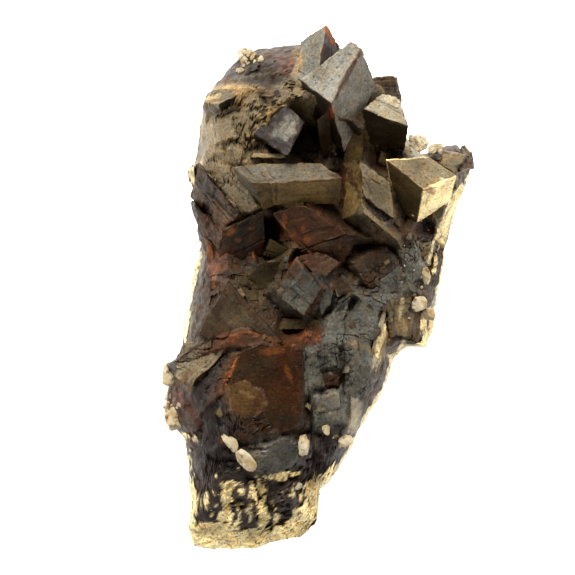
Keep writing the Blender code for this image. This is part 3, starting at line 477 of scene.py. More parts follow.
    ('tanB', (12.7, -8.8, 20.5), (16.7, -8.4, 19.5), (17, -1.3, 20.5), (12.5, -1.6, 22.5),
     8, 'tan brown olive', 0.1, 1),
    ('tanC', (10.6, -18.3, 19.5), (11.7, -19, 18.5), (14.9, -9.9, 18.5), (13.4, -9, 19.5),
     7, 'cream tan brown', 0.05, 0.9),
    ('rightDark', (17.1, -8.6, 17.5), (20, -7.5, 16), (19.2, -1.8, 16.5), (17, -1.3, 18.5),
     7, 'brown dark brown', 0.1, 1.2),
    ('rightSugar', (17.9, -12.1, 13), (21, -9.6, 13), (21.1, -5, 14), (17.5, -7.6, 15),
     5, 'olive tan brown', 0.1, 1.3),
    ('baseA', (-20.9, -29, 19), (-14.5, -30.8, 19.5), (-15.5, -24.6, 22), (-20, -23.2, 21),
     9, 'plum brown dark', 0.2, 1.1),
    ('baseB', (-16.7, -34.6, 18), (-12.3, -35.1, 18.5), (-13.6, -30.8, 19.5), (-17, -31, 19.5),
     8, 'plum plum dark', 0.1, 0.9),
    ('baseC', (-20.1, -41.4, 15.5), (-17, -41.3, 16), (-16.8, -31.5, 19), (-19.5, -31.2, 18.5),
     7, 'plum plum dark', 0.15, 0.9),
    ('baseD', (-15.1, -43.2, 15.5), (-10.9, -42.6, 15.8), (-10.9, -35.5, 18.3), (-15, -35.9, 18),
     7, 'plum plum dark', 0.1, 0.9),
    ('baseE', (-7.5, -43.5, 15.5), (-4.5, -42.4, 15.8), (-3.4, -34.8, 18), (-7.5, -34.6, 17.8),
     7, 'plum plum dark', 0.1, 0.9),
    ('baseEe', (-8.8, -41.3, 15.8), (-6.6, -41.3, 16), (-6.4, -38.8, 16.6), (-8.8, -39.2, 16.3),
     5, 'plum plum dark', 0.1, 0.9),
    ('baseF', (-1.4, -32.6, 18.5), (2, -32.3, 18), (2, -27.4, 19.8), (-1.1, -27, 20),
     8, 'plum dark plum', 0.1, 0.9),
    ('baseG', (-9.8, -36.6, 17.5), (-3, -35.9, 17.6), (-3, -31.9, 19), (-10.2, -32.2, 19),
     8, 'dark plum plum', 0.1, 1.1),
    ('baseH', (-23.1, -33.8, 16.5), (-20.3, -34.1, 17.5), (-20, -29, 19), (-23.5, -28.7, 17),
     7, 'plum brown dark', 0.1, 1.1),
    ('baseI', (-21.9, -41.4, 14.5), (-20.1, -41.4, 15.2), (-19.9, -34.5, 17.3),
     (-22.4, -34.1, 16.3),
     6, 'plum brown dark', 0.1, 1.1),
    ('baseJ', (-3, -40.5, 15), (-0.1, -39.2, 14.5), (0.9, -33.8, 16.5), (-2.7, -34.5, 17),
     6, 'plum brown dark', 0.1, 1.1),
)


# stains and tints on the siderite, the bluish grey ones a painted sheen: tone, middle x and y,
# half length, half width, turn in degrees, and how strong it is
stains = (
    ('rust', 5.1, 37.6, 5.9, 0.54, 61, 1), ('dark', 4.9, 37.1, 5.4, 0.18, 61, 0.6),
    ('flame', 2.3, 45.4, 2, 0.57, -60, 0.9), ('flame', 2.4, 31.3, 1.4, 0.64, 82, 0.85),
    ('rust', 3.7, 20, 2, 0.43, -20, 0.8), ('rust', -1.7, 19.2, 6.1, 0.27, 3, 0.6),
    ('rust', -9.8, 19.2, 2.1, 0.21, 10, 0.5), ('flame', -6.2, 12.1, 1.8, 0.71, 80, 0.7),
    ('rust', -3.1, 13.8, 3.6, 0.89, -25, 0.6), ('flame', -4.5, 9.6, 1.1, 0.54, 40, 0.4),
    ('brown', 1.4, 8.9, 3.2, 1.43, -25, 0.5), ('flame', -15.5, 10.5, 1.6, 0.71, 20, 0.65),
    ('flame', -14.1, 8.9, 0.9, 0.54, 0, 0.5), ('steel', -16.6, 6.8, 1.8, 0.89, 70, 0.45),
    ('steel', -13, 3.9, 1.8, 0.89, 30, 0.4), ('flame', -19.1, 5, 4.6, 0.61, -80, 1),
    ('dark', -10.2, 39.6, 5, 2.14, 8, 0.8), ('blue', -12, 38.2, 3.6, 0.45, 6, 0.3),
    ('dark', -10.5, 37.2, 6.1, 0.54, 2, 0.7), ('flame', 20, 17.6, 1.3, 0.61, -10, 0.7),
    ('flame', -23.7, -15.9, 2.1, 0.89, 40, 0.3), ('flame', -15.3, -9.2, 3.2, 0.39, 38, 0.7),
    ('flame', -9.1, -8.5, 3.6, 0.36, -18, 0.3), ('flame', -15.9, -15.3, 3.9, 0.46, 66, 0.85),
    ('flame', -8.2, -10.8, 2.3, 0.89, 5, 0.3), ('honey', -12.1, -19.6, 3.2, 2.68, -15, 0.8),
    ('redbrown', -5.2, -15.7, 2.9, 5, 0, 0.75), ('dark', -9.1, -22.8, 6.4, 1.07, 0, 0.6),
    ('dark', -10.9, -13.5, 3.6, 1.61, 20, 0.45), ('flame', -3.8, -9.1, 2.5, 0.71, 10, 0.35),
    ('rust', -5.2, 3.6, 2.3, 1.96, 40, 0.8), ('flame', -4.5, 5, 1.1, 0.71, 40, 0.4),
    ('gold', -3.6, 40.8, 3, 1.07, 88, 0.7), ('rust', -8.7, 35.1, 2.5, 0.71, -5, 0.6),
    ('blue', -5.5, 28.6, 3, 2.14, 50, 0.7), ('blue', -6.1, -1.8, 1.8, 2.14, 30, 0.4),
    ('cream', 23, 17.8, 2.7, 1.61, 50, 0.35), ('pale', 1.9, -21, 2.3, 2.68, 0, 0.25),
    ('dark', -20, 18.2, 4.3, 0.89, -55, 0.6), ('rust', -20.9, 13.4, 3.9, 1.25, -60, 0.5),
    ('ochre', 5.8, 17.8, 3.9, 1.25, 88, 0.5), ('gold', -18.3, 33.8, 1.8, 0.89, 15, 0.45),
    ('pale', 13.9, 31.1, 2.1, 1.43, -30, 0.5), ('dark', 22, 25, 2.1, 0.71, 5, 0.5),
    ('rust', 27.4, 22.3, 1.1, 1.25, 0, 0.4), ('rust', 13.3, 10.3, 0.9, 2.14, -60, 0.35),
    ('olive', 9.8, 8.9, 3.9, 1.25, -20, 0.4), ('rust', 0.9, 5, 3.6, 1.43, -10, 0.5),
    ('blue', -2.7, -1.8, 1.4, 2.14, 0, 0.3), ('cream', 4.8, -27.2, 0.9, 1.07, 0, 0.5),
    ('gold', 15.6, -5, 0.9, 3.57, 3, 0.4), ('rust', -18.7, 10.3, 1.8, 0.89, -60, 0.6),
    ('gold', 9.8, -10.7, 0.9, 4.64, 70, 0.5), ('pale', -22.1, 23.1, 0.9, 2.5, 70, 0.4),
    ('dark', -7.3, 17.1, 1.8, 0.2, 88, 0.95), ('dark', -8.7, 19.2, 1.4, 0.18, 12, 0.9),
    ('tan', 9.4, 15.1, 3.6, 1.61, -60, 0.4), ('dark', 9.9, 14.6, 2.3, 0.57, -50, 0.95),
    ('redbrown', 4.9, 11, 1.1, 1.43, 0, 0.3), ('gold', 12, -9.8, 3.6, 0.89, 72, 0.6),
    ('gold', 14.5, -5.4, 3.2, 0.71, 88, 0.5), ('brown', 13.5, -12.5, 3.6, 0.54, 70, 0.5),
    ('cream', 14.7, -11.1, 2.5, 0.39, 66, 0.8), ('cream', 22.1, 10.4, 3.2, 0.43, 62, 0.8),
    ('cream', 20.5, 6.3, 2.1, 0.36, 75, 0.7), ('dark', 18.5, 7.2, 2.9, 0.54, 70, 0.5),
    ('tan', -22.8, -4.5, 3.6, 0.54, 88, 0.5), ('dark', -23.4, -10.7, 1.1, 0.89, 0, 0.4),
    ('pale', -21.6, -11.1, 2.1, 0.89, 40, 0.35), ('slate', -8, -28.2, 3.6, 2.5, 0, 0.6),
    ('cream', 11.3, -9.8, 3.6, 0.71, 70, 0.6), ('tan', -14.4, -4.4, 3.9, 2.5, -40, 0.3),
    ('slate', 2.3, -20.5, 2.5, 2.14, 0, 0.5), ('cream', 15.2, -3.6, 2.9, 0.54, 85, 0.35),
    ('flame', -16.6, -27, 1.3, 0.71, -43, 0.5), ('dark', -3.1, 38.6, 1.3, 0.16, -25, 0.9),
    ('dark', -0.9, 35, 2.1, 0.14, -22, 0.7), ('brown', 1.4, 38.9, 2.9, 0.18, 66, 0.5),
    ('dark', 0.1, 23.1, 4.6, 0.54, 4, 0.3), ('rust', -3.1, 12.4, 1.4, 0.54, 30, 0.6),
    ('flame', -6.2, 10.7, 0.5, 0.45, 60, 0.7), ('flame', -16.2, 12.1, 0.9, 0.36, 30, 0.6),
    ('flame', -11.6, 11, 0.7, 0.36, 10, 0.5), ('flame', 0.5, 13.7, 0.9, 0.29, -30, 0.5),
    ('flame', -2.2, 5, 1.1, 0.36, 50, 0.5), ('flame', 4, 7.8, 0.7, 0.36, -60, 0.4),
    ('gold', 2.3, 16.8, 1.8, 0.54, 0, 0.35), ('dark', -3.1, 16.7, 2.9, 0.21, 2, 0.5),
    ('dark', 0.1, 17.7, 0.2, 1.61, 0, 0.4), ('gold', 10.5, 9.6, 2.5, 0.54, -38, 0.3),
    ('rust', 7.9, 19.4, 2.1, 0.25, -72, 0.6), ('dark', 9, 18.4, 2, 0.16, -60, 0.7),
    ('rust', 19.6, 17.7, 2.1, 0.21, 20, 0.6), ('dark', 16.5, 20.3, 3.9, 0.14, 40, 0.5),
    ('dark', 14.4, 31.7, 2.9, 0.16, -28, 0.7), ('rust', 9.7, 31.6, 1.8, 0.21, -20, 0.4),
    ('cream', -18.7, 34.4, 1.8, 0.54, 10, 0.35), ('dark', -15.1, 24.8, 2.1, 0.16, 70, 0.6),
    ('dark', -18.3, 26.6, 1.6, 0.14, 20, 0.6), ('dark', -16.9, 23.1, 2.5, 0.14, -12, 0.6),
    ('dark', -13.7, 17.8, 2.9, 0.16, -40, 0.5), ('blue', -13.7, 30.5, 2.9, 1.25, 20, 0.25),
    ('redbrown', -9.8, -18.7, 3.6, 0.89, 60, 0.5), ('flame', -5.2, -14.6, 1.8, 0.54, -70, 0.35),
    ('gold', -12.7, -18.5, 1.6, 0.54, -20, 0.3), ('dark', -13.7, -13.9, 2.1, 0.54, 65, 0.5),
    ('dark', -2.5, -17.4, 6.4, 0.29, 90, 0.7), ('dark', 1, -14.6, 3.9, 0.21, 84, 0.7),
    ('dark', 4.8, -14.2, 5.4, 0.25, 88, 0.7), ('blue', 2.3, -13.3, 0.7, 2.5, 0, 0.3),
    ('blue', 6.9, -12.8, 0.7, 2.86, 5, 0.3), ('tan', -21.3, -11.1, 2.5, 0.89, 42, 0.4),
    ('dark', -18.7, -13.6, 2.5, 0.25, 48, 0.7), ('brown', -23.4, -15.2, 1.8, 0.89, 60, 0.4),
    ('dark', -9.8, 40, 4.3, 1.34, 8, 0.55), ('dark', -10.9, 37.5, 4.6, 0.29, -3, 0.9),
    ('dark', -8.4, 35.6, 4.6, 0.25, 2, 0.7), ('fawn', -16.9, 28.4, 3.9, 3.57, -20, 0.45),
    ('fawn', -11.9, 30.8, 3.6, 2.14, 10, 0.4),
)

# the larger pale grains: middle x, y, z, half sizes along their own axes, turn in degrees
grainRows = (
    (-12.5, 41.8, 17, 1.6, 1.4, 1.2, 0), (18.2, 26.3, 20.3, 1.3, 1.4, 1.2, 20),
    (21.2, 25.3, 20, 1.2, 0.9, 1.0, 0), (19.6, 2.5, 17.2, 0.8, 1.4, 1.1, 15),
    (18.4, -2.6, 17.6, 1.2, 1.3, 1.2, 0), (20, -4.3, 15.6, 1.1, 1.3, 1.0, 20),
    (-26.3, -15.2, 14.5, 1.7, 1.8, 1.2, 10), (-25.8, -23.2, 12.6, 1.5, 1.9, 1.2, 25),
    (-15.7, -27, 20.8, 2.0, 1.0, 1.0, -43), (-12.6, -30.4, 20.2, 2.0, 1.2, 1.1, -47),
    (-2.4, -28, 19.2, 0.9, 1.9, 1.0, -8), (1.6, -24.8, 18.2, 0.7, 1.0, 0.8, 0),
    (5.2, -26.9, 20.4, 1.2, 1.0, 1.0, 30), (-3.4, -35.1, 17.3, 0.8, 0.7, 0.8, 0),
)

# where pale sand covers the crust: middle x and y, half length, half width, turn, strength
sandPatches = (
    (-16.1, -38.1, 4.6, 0.8, 92, 1), (-9.7, -39.9, 3.9, 1.1, 95, 1),
    (-0.9, -37.7, 5.4, 1.6, 80, 0.9), (-22.4, -38.7, 5, 0.7, 90, 0.9),
    (-6.3, -33.3, 3.9, 0.9, 5, 0.6), (-3.4, -42.3, 2.5, 2.1, 30, 1),
    (-11.3, -35.9, 2.5, 0.5, 100, 0.7), (-14.5, -34.8, 1.4, 0.7, 0, 0.5),
    (2.4, -33.4, 2.5, 1.1, 60, 0.8), (-22.8, -30.9, 2.1, 0.7, 90, 0.5),
    (-18.3, -42.8, 4.6, 1.1, 0, 1), (-12.9, -44.3, 7.1, 1.1, 0, 1), (-5.7, -43.9, 3.9, 1.3, 0, 1),
    (-21.7, -26.9, 1.4, 0.5, -30, 0.4), (19.7, -9.9, 1.6, 2.1, 0, 0.7),
    (15.8, -10.8, 1.4, 0.7, 60, 0.5), (21.4, 5, 2.5, 0.5, 80, 0.6), (22.7, 11.7, 2.9, 0.5, 65, 0.6),
    (19.3, -5.4, 2.5, 0.7, 90, 0.5), (11.7, -19.8, 3.9, 0.4, 62, 0.7),
    (8.1, -27, 3.2, 0.5, 60, 0.7), (-23.5, -5.4, 3.9, 0.5, 88, 0.7),
    (5.1, -32.4, 2.9, 0.7, 50, 0.9), (1.5, -36.9, 2.5, 1.1, 60, 0.9),
    (-20.1, -37.7, 1.8, 0.5, 90, 0.6), (-13.8, -32.3, 1.4, 0.4, -40, 0.3),
    (-3, -39.9, 1.4, 1.1, 0, 0.5), (-17.1, -41.4, 2.1, 0.7, 90, 0.9),
    (-23.9, -27, 1.8, 0.5, 80, 0.6),
)


# from 1 in the middle of a patch to 0 outside it: an ellipse, whose edge a noise breaks up
def patchShare(points, x, y, halfLength, halfWidth, turn, ragged, seed):
    cosine, sine = math.cos(math.radians(turn)), math.sin(math.radians(turn))
    dx, dy = points[:, 0] - x, points[:, 1] - y
    away = np.hypot((dx * cosine + dy * sine) / halfLength, (dy * cosine - dx * sine) / halfWidth)
    near = away < 1.8
    share = np.zeros(len(points))
    if near.any():
        noise = layeredNoise(points[near], 1.1, 4, seed)
        share[near] = smoothStep(1.15, 0.6, away[near] + noise * ragged)
    return share


# the tone of each point after every stain is blended over it
def stained(points, colour):
    colour = colour.copy()
    for number, (tone, x, y, a, b, turn, amount) in enumerate(stains):
        ragged = 0.2 + 0.6 * min(1, b / 0.8)
        share = patchShare(points, x, y, a, b, turn, ragged, 600 + number)[:, None] * amount
        colour = colour * (1 - share) + np.array(tones[tone]) * share
    return colour


# how the sand lies: how ragged its patches are, between which y its rim and its dusting at the
# foot fade in, how far the rim wanders, how strong the dusting is, the size and strength of the
# streaks that break it up, how sharp its edge is, and how much of it reaches the crystals at the
# foot, below which y
sandLook = dict(ragged=0.9, rim=(-42.6, -45.0), rimStrength=1.2, wander=2, wanderSize=2.2,
                dusting=0.23, dustingFrom=(-31.5, -36), streak=0.6, streakSize=0.7,
                edge=(0.30, 0.50), clearUnder=0.12, onCrystals=0.8, foot=-26)


# how sandy a point is, from 0 to 1: the strongest of the patches, the rim and the dusting, plus
# streaks that run up the specimen, put through a steep step
def sandShare(points):
    look = sandLook
    share = np.zeros(len(points))
    for number, (x, y, a, b, turn, amount) in enumerate(sandPatches):
        patch = patchShare(points, x, y, a, b, turn, look['ragged'], 700 + number)
        share = np.maximum(share, amount * patch)
    streaks = layeredNoise(points * (1, 0.4, 0.4), look['streakSize'], 3, 75)
    wander = layeredNoise(points, look['wanderSize'], 2, 76) * look['wander']
    rim = smoothStep(*look['rim'], points[:, 1] + wander)
    dusting = look['dusting'] * smoothStep(*look['dustingFrom'], points[:, 1])
    most = np.maximum(np.maximum(share, rim * look['rimStrength']), dusting)
    shown = smoothStep(*look['edge'], most + streaks * look['streak'])
    return shown * smoothStep(0.0, look['clearUnder'], most)


# the colour of each point with the sand laid over it
def sanded(colour, sand):
    return colour * (1 - sand[:, None]) + np.array(tones['cream']) * sand[:, None]


# the corners at both ends of a crystal; one given by its depth widens a little downwards
def crystalEnds(row):
    top = np.array(row[1:5], float)
    if isinstance(row[5], tuple):
        return top, np.array(row[5], float)
    middle = top.mean(0)
    return top, middle + (top - middle) * crystalRelief['flare'] - (0, 0, row[5])


# one crystal as a closed mesh: a lattice of shares s, t, w is carried to the block by blending
# its eight corners, and each side is pushed along its own normal by its relief, which fades to
# nothing past the block's middle so that shared edges stay joined
def crystalMesh(name, top, low, toneNames, rust, strength, seed, cell):
    mainTone, firstTone, lastTone = (np.array(tones[t]) for t in toneNames.split())
    ends = np.array([top, low])
    around = np.linalg.norm(np.roll(ends, -1, axis=1) - ends, axis=2).mean(0)
    lengths = np.array([(around[0] + around[2]) / 2, (around[1] + around[3]) / 2,
                        np.linalg.norm(ends[0] - ends[1], axis=1).mean()])
    counts = [max(2, int(math.ceil(n / cell))) for n in lengths]
    shares, faces = blockSkin(*counts)
    s, t, w = (shares[:, n:n + 1] for n in range(3))
    corners = [[ends[0][0], ends[0][3]], [ends[0][1], ends[0][2]]]
    deeper = [[ends[1][0], ends[1][3]], [ends[1][1], ends[1][2]]]

    # the blend of the corners at the shares, and its slopes along each of them
    def blend(a, b, c):
        total = 0
        for i in (0, 1):
            for j in (0, 1):
                total = total + a[i] * b[j] * (c[0] * corners[i][j] + c[1] * deeper[i][j])
        return total
    one = np.ones_like(s)
    points = blend((1 - s, s), (1 - t, t), (1 - w, w))
    slopes = [blend((-one, one), (1 - t, t), (1 - w, w)),
              blend((1 - s, s), (-one, one), (1 - w, w)),
              blend((1 - s, s), (1 - t, t), (-one, one))]
    if np.linalg.det([v.mean(0) for v in slopes]) < 0:
        faces = faces[:, ::-1]
    local = shares * lengths
    # thin crystals have a calmer relief, so that their two faces don't meet
    calm = float(np.clip(lengths.min() / crystalRelief['calmUnder'], 0.12, 1))
    moved = np.zeros_like(points)
    depth = np.zeros(len(points))
    for axis in range(3):
        a, b = (axis + 1) % 3, (axis + 2) % 3
        normal = np.cross(slopes[a], slopes[b])
        normal /= np.maximum(np.linalg.norm(normal, axis=1, keepdims=True), 1e-9)
        normal *= np.sign((normal * slopes[axis]).sum(1, keepdims=True))
        for end in (0, 1):
            hold = smoothStep(0.5, 1.0, shares[:, axis] if end else 1 - shares[:, axis])
            push = calm * hold * facePush(local[:, a], local[:, b], lengths[a], lengths[b],
                                          strength, seed * 13 + axis * 2 + end)
            moved += (1 if end else -1) * push[:, None] * normal
            depth = np.minimum(depth, push)
    # each point takes the tone of its nearest face: painted light and shade, since a face turned to
    # the light has a lighter tone and one turned away a darker one
    inside = np.minimum(shares, 1 - shares) * lengths
    nearest = inside.argmin(1)
    colour = np.array([lastTone, firstTone, mainTone])[nearest]
    # how near a point is to the block's edges, which the finish lightens: partly wear, partly a
    # painted highlight along the edges
    rim = np.exp(-np.sort(inside, axis=1)[:, 1] / 0.35)
    stain = rust * (0.6 + 0.8 * layeredNoise(points, 3.0, 3, seed + 400))
    colour = stained(points, colour * toneShift(seed))
    sand = np.zeros(len(points))
    if points[:, 1].min() < sandLook['foot']:
        sand = sandShare(points) * sandLook['onCrystals']
    colour = sanded(colour, sand)
    # where the relief is pushed in, its pits, steps and clefts are darkened with painted shade
    return meshFrom(name, points + moved, faces, dict(tone=colour),
                    dict(rust=np.clip(stain, 0, 1.5) * (1 - sand), wearAndHighlight=rim,
                         sunk=np.clip(-depth / 0.7, 0, 1) * (1 - sand)),
                    dict(along=local + seed * 17.0))


# the pale rock in millimetres: how high its middle, its rim and the widest part of its side are,
# how far the crust keeps above it, its waves, grain and lumps, the share of the outline's radius
# at its foot, and its steps and rings
rockShape = dict(middle=12.0, rim=8.5, bulge=5.0, gap=0.3, wave=0.35, waveSize=2.3,
                 sand=0.5, sandSize=0.85, lump=0.7, lumpSize=3.2, foot=0.94,
                 steps=860, sideRings=30, edgeRings=26, topRings=7, smoothAngle=60)


# a rolling height from about -1 to 1: three products of sines that run in different directions
def waves(x, y, size, seed):
    a = np.sin(x / size + seed) * np.cos(y / size * 1.13 - seed * 0.7)
    b = np.sin((x + y) / size * 1.71 + seed * 2.1) * np.cos((x - y) / size * 1.37 + seed)
    c = np.sin(x / size * 3.1 - seed) * np.sin(y / size * 2.9 + seed * 1.3)
    return (a + 0.6 * b + 0.4 * c) / 2.0


# one ring of points round the centre, at a share of the outline's radius; its height is a number
# or a function of x and y
def ringAt(share, radius, angles, height):
    x = centre[0] + np.cos(angles) * radius * share
    y = centre[1] + np.sin(angles) * radius * share
    z = height(x, y) if callable(height) else np.full_like(x, height)
    return np.stack([x, y, z], 1)


# top of the pale rock: highest in the middle, falling to the rim as the square of the share
def rockHeight(share, x, y):
    rise = rockShape['middle'] - rockShape['rim']
    wave = rockShape['wave'] * waves(x, y, rockShape['waveSize'], 4.0)
    return rockShape['rim'] + rise * (1 - share ** 2) + wave


# a coarse body under and around the pale rock's top, raised by the gap
def buildCutter():
    angles = np.arange(240) / 240 * 2 * math.pi
    radius = outlineRadius(angles, rockColumn)
    rings = [ringAt(1.5, radius, angles, -5.0),
             ringAt(1.5, radius, angles, rockShape['rim'] - 1.0)]
    for share in (1.0, 0.9, 0.72, 0.48, 0.22):
        rings.append(ringAt(share * 0.975, radius, angles,
                            lambda x, y, s=share: rockHeight(s, x, y) + rockShape['gap']))
    points, faces = ringBody(rings)
    return objectFrom('rockCutter', meshFrom('rockCutter', points, faces), cutters)


# points that the join adds can carry a blank white tone: make them brown
def browned(mesh):
    rgba = np.zeros(len(mesh.vertices) * 4, np.float32)
    mesh.attributes['tone'].data.foreach_get('color', rgba)
    rgba = rgba.reshape(-1, 4)
    blank = ~np.isfinite(rgba).all(1) | (rgba[:, :3] > 0.6).all(1) | (rgba[:, :3] < 0).any(1)
    rgba[blank, :3] = tones['brown']
    mesh.attributes['tone'].data.foreach_set('color', rgba.ravel())


# join closed meshes into one, and trim them to the pale rock
def joinBodies(name, first, others):
    group = bpy.data.collections.new(name + 'Parts')
    for mesh in others:
        group.objects.link(bpy.data.objects.new(mesh.name, mesh))
    bpy.context.scene.collection.children.link(group)
    base = objectFrom(name, first)
    if others:
        union = base.modifiers.new('join', 'BOOLEAN')
        union.operation, union.solver = 'UNION', 'MANIFOLD'
        union.operand_type, union.collection = 'COLLECTION', group
    trim = base.modifiers.new('trim', 'BOOLEAN')
    trim.operation, trim.solver, trim.object = 'DIFFERENCE', 'MANIFOLD', rockCutter
    graph = bpy.context.evaluated_depsgraph_get()
    mesh = bpy.data.meshes.new_from_object(base.evaluated_get(graph), depsgraph=graph)
    mesh.name = name
    browned(mesh)
    base.modifiers.clear()
    base.data = mesh
    for part in list(group.objects):
        bpy.data.objects.remove(part, do_unlink=True)
    bpy.data.collections.remove(group)
    return base


def shadeByAngle(piece, degrees):
    piece.data.polygons.foreach_set('use_smooth', np.ones(len(piece.data.polygons), bool))
    piece.data.set_sharp_from_angle(angle=math.radians(degrees))


def triangleCount(piece):
    loops = np.zeros(len(piece.data.polygons), np.int32)
    piece.data.polygons.foreach_get('loop_total', loops)
    return int((loops - 2).sum())


# the crystals are joined in zones, by how far up the specimen their main face lies
zones = (('sideriteCrown', 22.4, 99.0), ('sideriteHeart', 3.0, 22.4),
         ('sideriteBelt', -99.0, 3.0))


def buildCrystals():
    pieces = []
    for name, low, high in zones:
        meshes = [crystalMesh(row[0], *crystalEnds(row), row[6], row[7], row[8], number + 1,
                              crystalRelief['cell'])
                  for number, row in enumerate(crystals)
                  if row[0] not in flatNames and row[0] not in lensNames
                  and low < np.mean([corner[1] for corner in row[1:5]]) <= high]
        piece = joinBodies(name, meshes[0], meshes[1:])
        shadeByAngle(piece, crystalRelief['smoothAngle'])
        pieces.append(piece)
        print(name, triangleCount(piece), 'triangles')
    return pieces


# the crust between the crystals, in millimetres: heights x, y, z; its rings and steps, the share
# of the radius where they end and how they crowd, and the two hidden rings below, each a share
# and a height from the rim; its relief, where each pair is a size and a strength; and how far
# above the rim the relief starts, how deep a hollow is darkened with painted shade, and how high
# a bump is lightened as wear and painted highlight
crustShape = dict(
    heights=((1, 36, 23), (-1, 27, 21), (6, 25, 19.5), (-10, 39, 17), (-18, 25, 20),
             (0.5, 16, 21), (-2.5, 23, 20), (3, 22.5, 23.5), (8, 24, 21.5), (15, 34, 16),
             (18, 16, 17.5), (25, 23, 15), (15, 2, 20), (21, -2, 14.5), (-1, 9, 21), (-3, -5.5, 18),
             (-14, -5.5, 19), (-22, -2, 15), (-21, -14, 19), (-26, -18, 13.5), (-9, -20, 22.5),
             (4, -19.5, 22), (13, -9, 17.5), (-10, -35.5, 16.2), (0.5, -35.5, 15.6),
             (-21, -34, 15), (-12, -42, 13.8), (-18, -28, 17.8), (-20, -42, 13.2), (-6, -30, 18)),
    rings=152, steps=620, innermost=0.01, crowding=0.9, hidden=((0.9, -4.0), (0.985, 0.5)),
    free=(0.6, 2.0), sunk=(0.08, 0.55), wornAndHighlit=(0.06, 0.35), smoothAngle=42,
    roll=(1.9, 0.8), plate=(1.9, 0.8), lump=(1.5, 0.5), flake=(0.95, 0.22), swell=(4.0, 0.16),
    fine=(0.7, 0.06), sandGrain=(0.75, 0.55), footLump=(2.6, 0.75), sway=(1.7, 0.4),
    crack=0.75, wideCracks=(3.6, 0.34), fineCracks=(1.9, 0.26))


# the mean of the heights, each weighed by the fourth power of its nearness, plus a roll
def crustHeight(x, y):
    size, strength = crustShape['roll']
    marks = np.array(crustShape['heights'], float)
    away = (x[..., None] - marks[:, 0]) ** 2 + (y[..., None] - marks[:, 1]) ** 2 + 2.0
    weight = away ** -2.0
    return (weight * marks[:, 2]).sum(-1) / weight.sum(-1) + strength * waves(x, y, size, 1.0)


# these crystals lie flat in the crust, and are facets of its top rather than blocks
flatNames = (
    'crownBack', 'crownChip', 'crownStep', 'shoulder', 'shoulderCube', 'pitCube', 'leftSlope',
    'leftSmooth', 'topLens', 'topShade', 'topBand', 'topBack', 'topRust', 'fangSide', 'slabLow',
    'rightPurple', 'rightMid', 'slopeRight', 'crustRight', 'crustRightEdge', 'rustSill',
    'noseDark', 'slabTip', 'slabOuter', 'slabInner', 'tanC', 'plateEdge', 'rhombBand', 'ledgeLow',
    'ledgeMid', 'ledgeFoot', 'edgeLeft', 'edgeLeftUp', 'edgeDark', 'ribA', 'ribB', 'ribAmber',
    'ribUp', 'plateGrey', 'plateRight', 'plateUp', 'bumpLow', 'rightDark', 'rightSugar', 'baseA',
    'baseB', 'baseC', 'baseD', 'baseE', 'baseEe', 'baseF', 'baseG', 'baseH', 'baseI', 'baseJ',
)

# the smooth amber crystal is shaped by finer facets; its two rows only keep their places above
lensNames = ('lensUpper', 'lensLower')

# how a facet ends: how ragged and how wide its edge is and how steep; how far below a block's face
# the crust stays; how far outside its outline it reaches, and how far past its own corners it
# may rise and sink; how late the crust, and how late a facet, falls to the rim; the rim above the
# rock's; a hollow's slope; and, by how far up the specimen it is, the slope beyond a facet and to
# a block
facetEdge = dict(ragged=0.5, width=0.4, steep=1.8, below=1.4, reach=7, over=0.3, under=0.4,
                 crustFall=7, facetFall=18, rimAbove=3, hollowSlope=2.2,
                 gentle=((-99, 1.0), (3, 2.4), (22, 0.9), (33, 1.2)),
                 slopes=((-99, 1.1), (3, 2.2), (22, 3.0)))

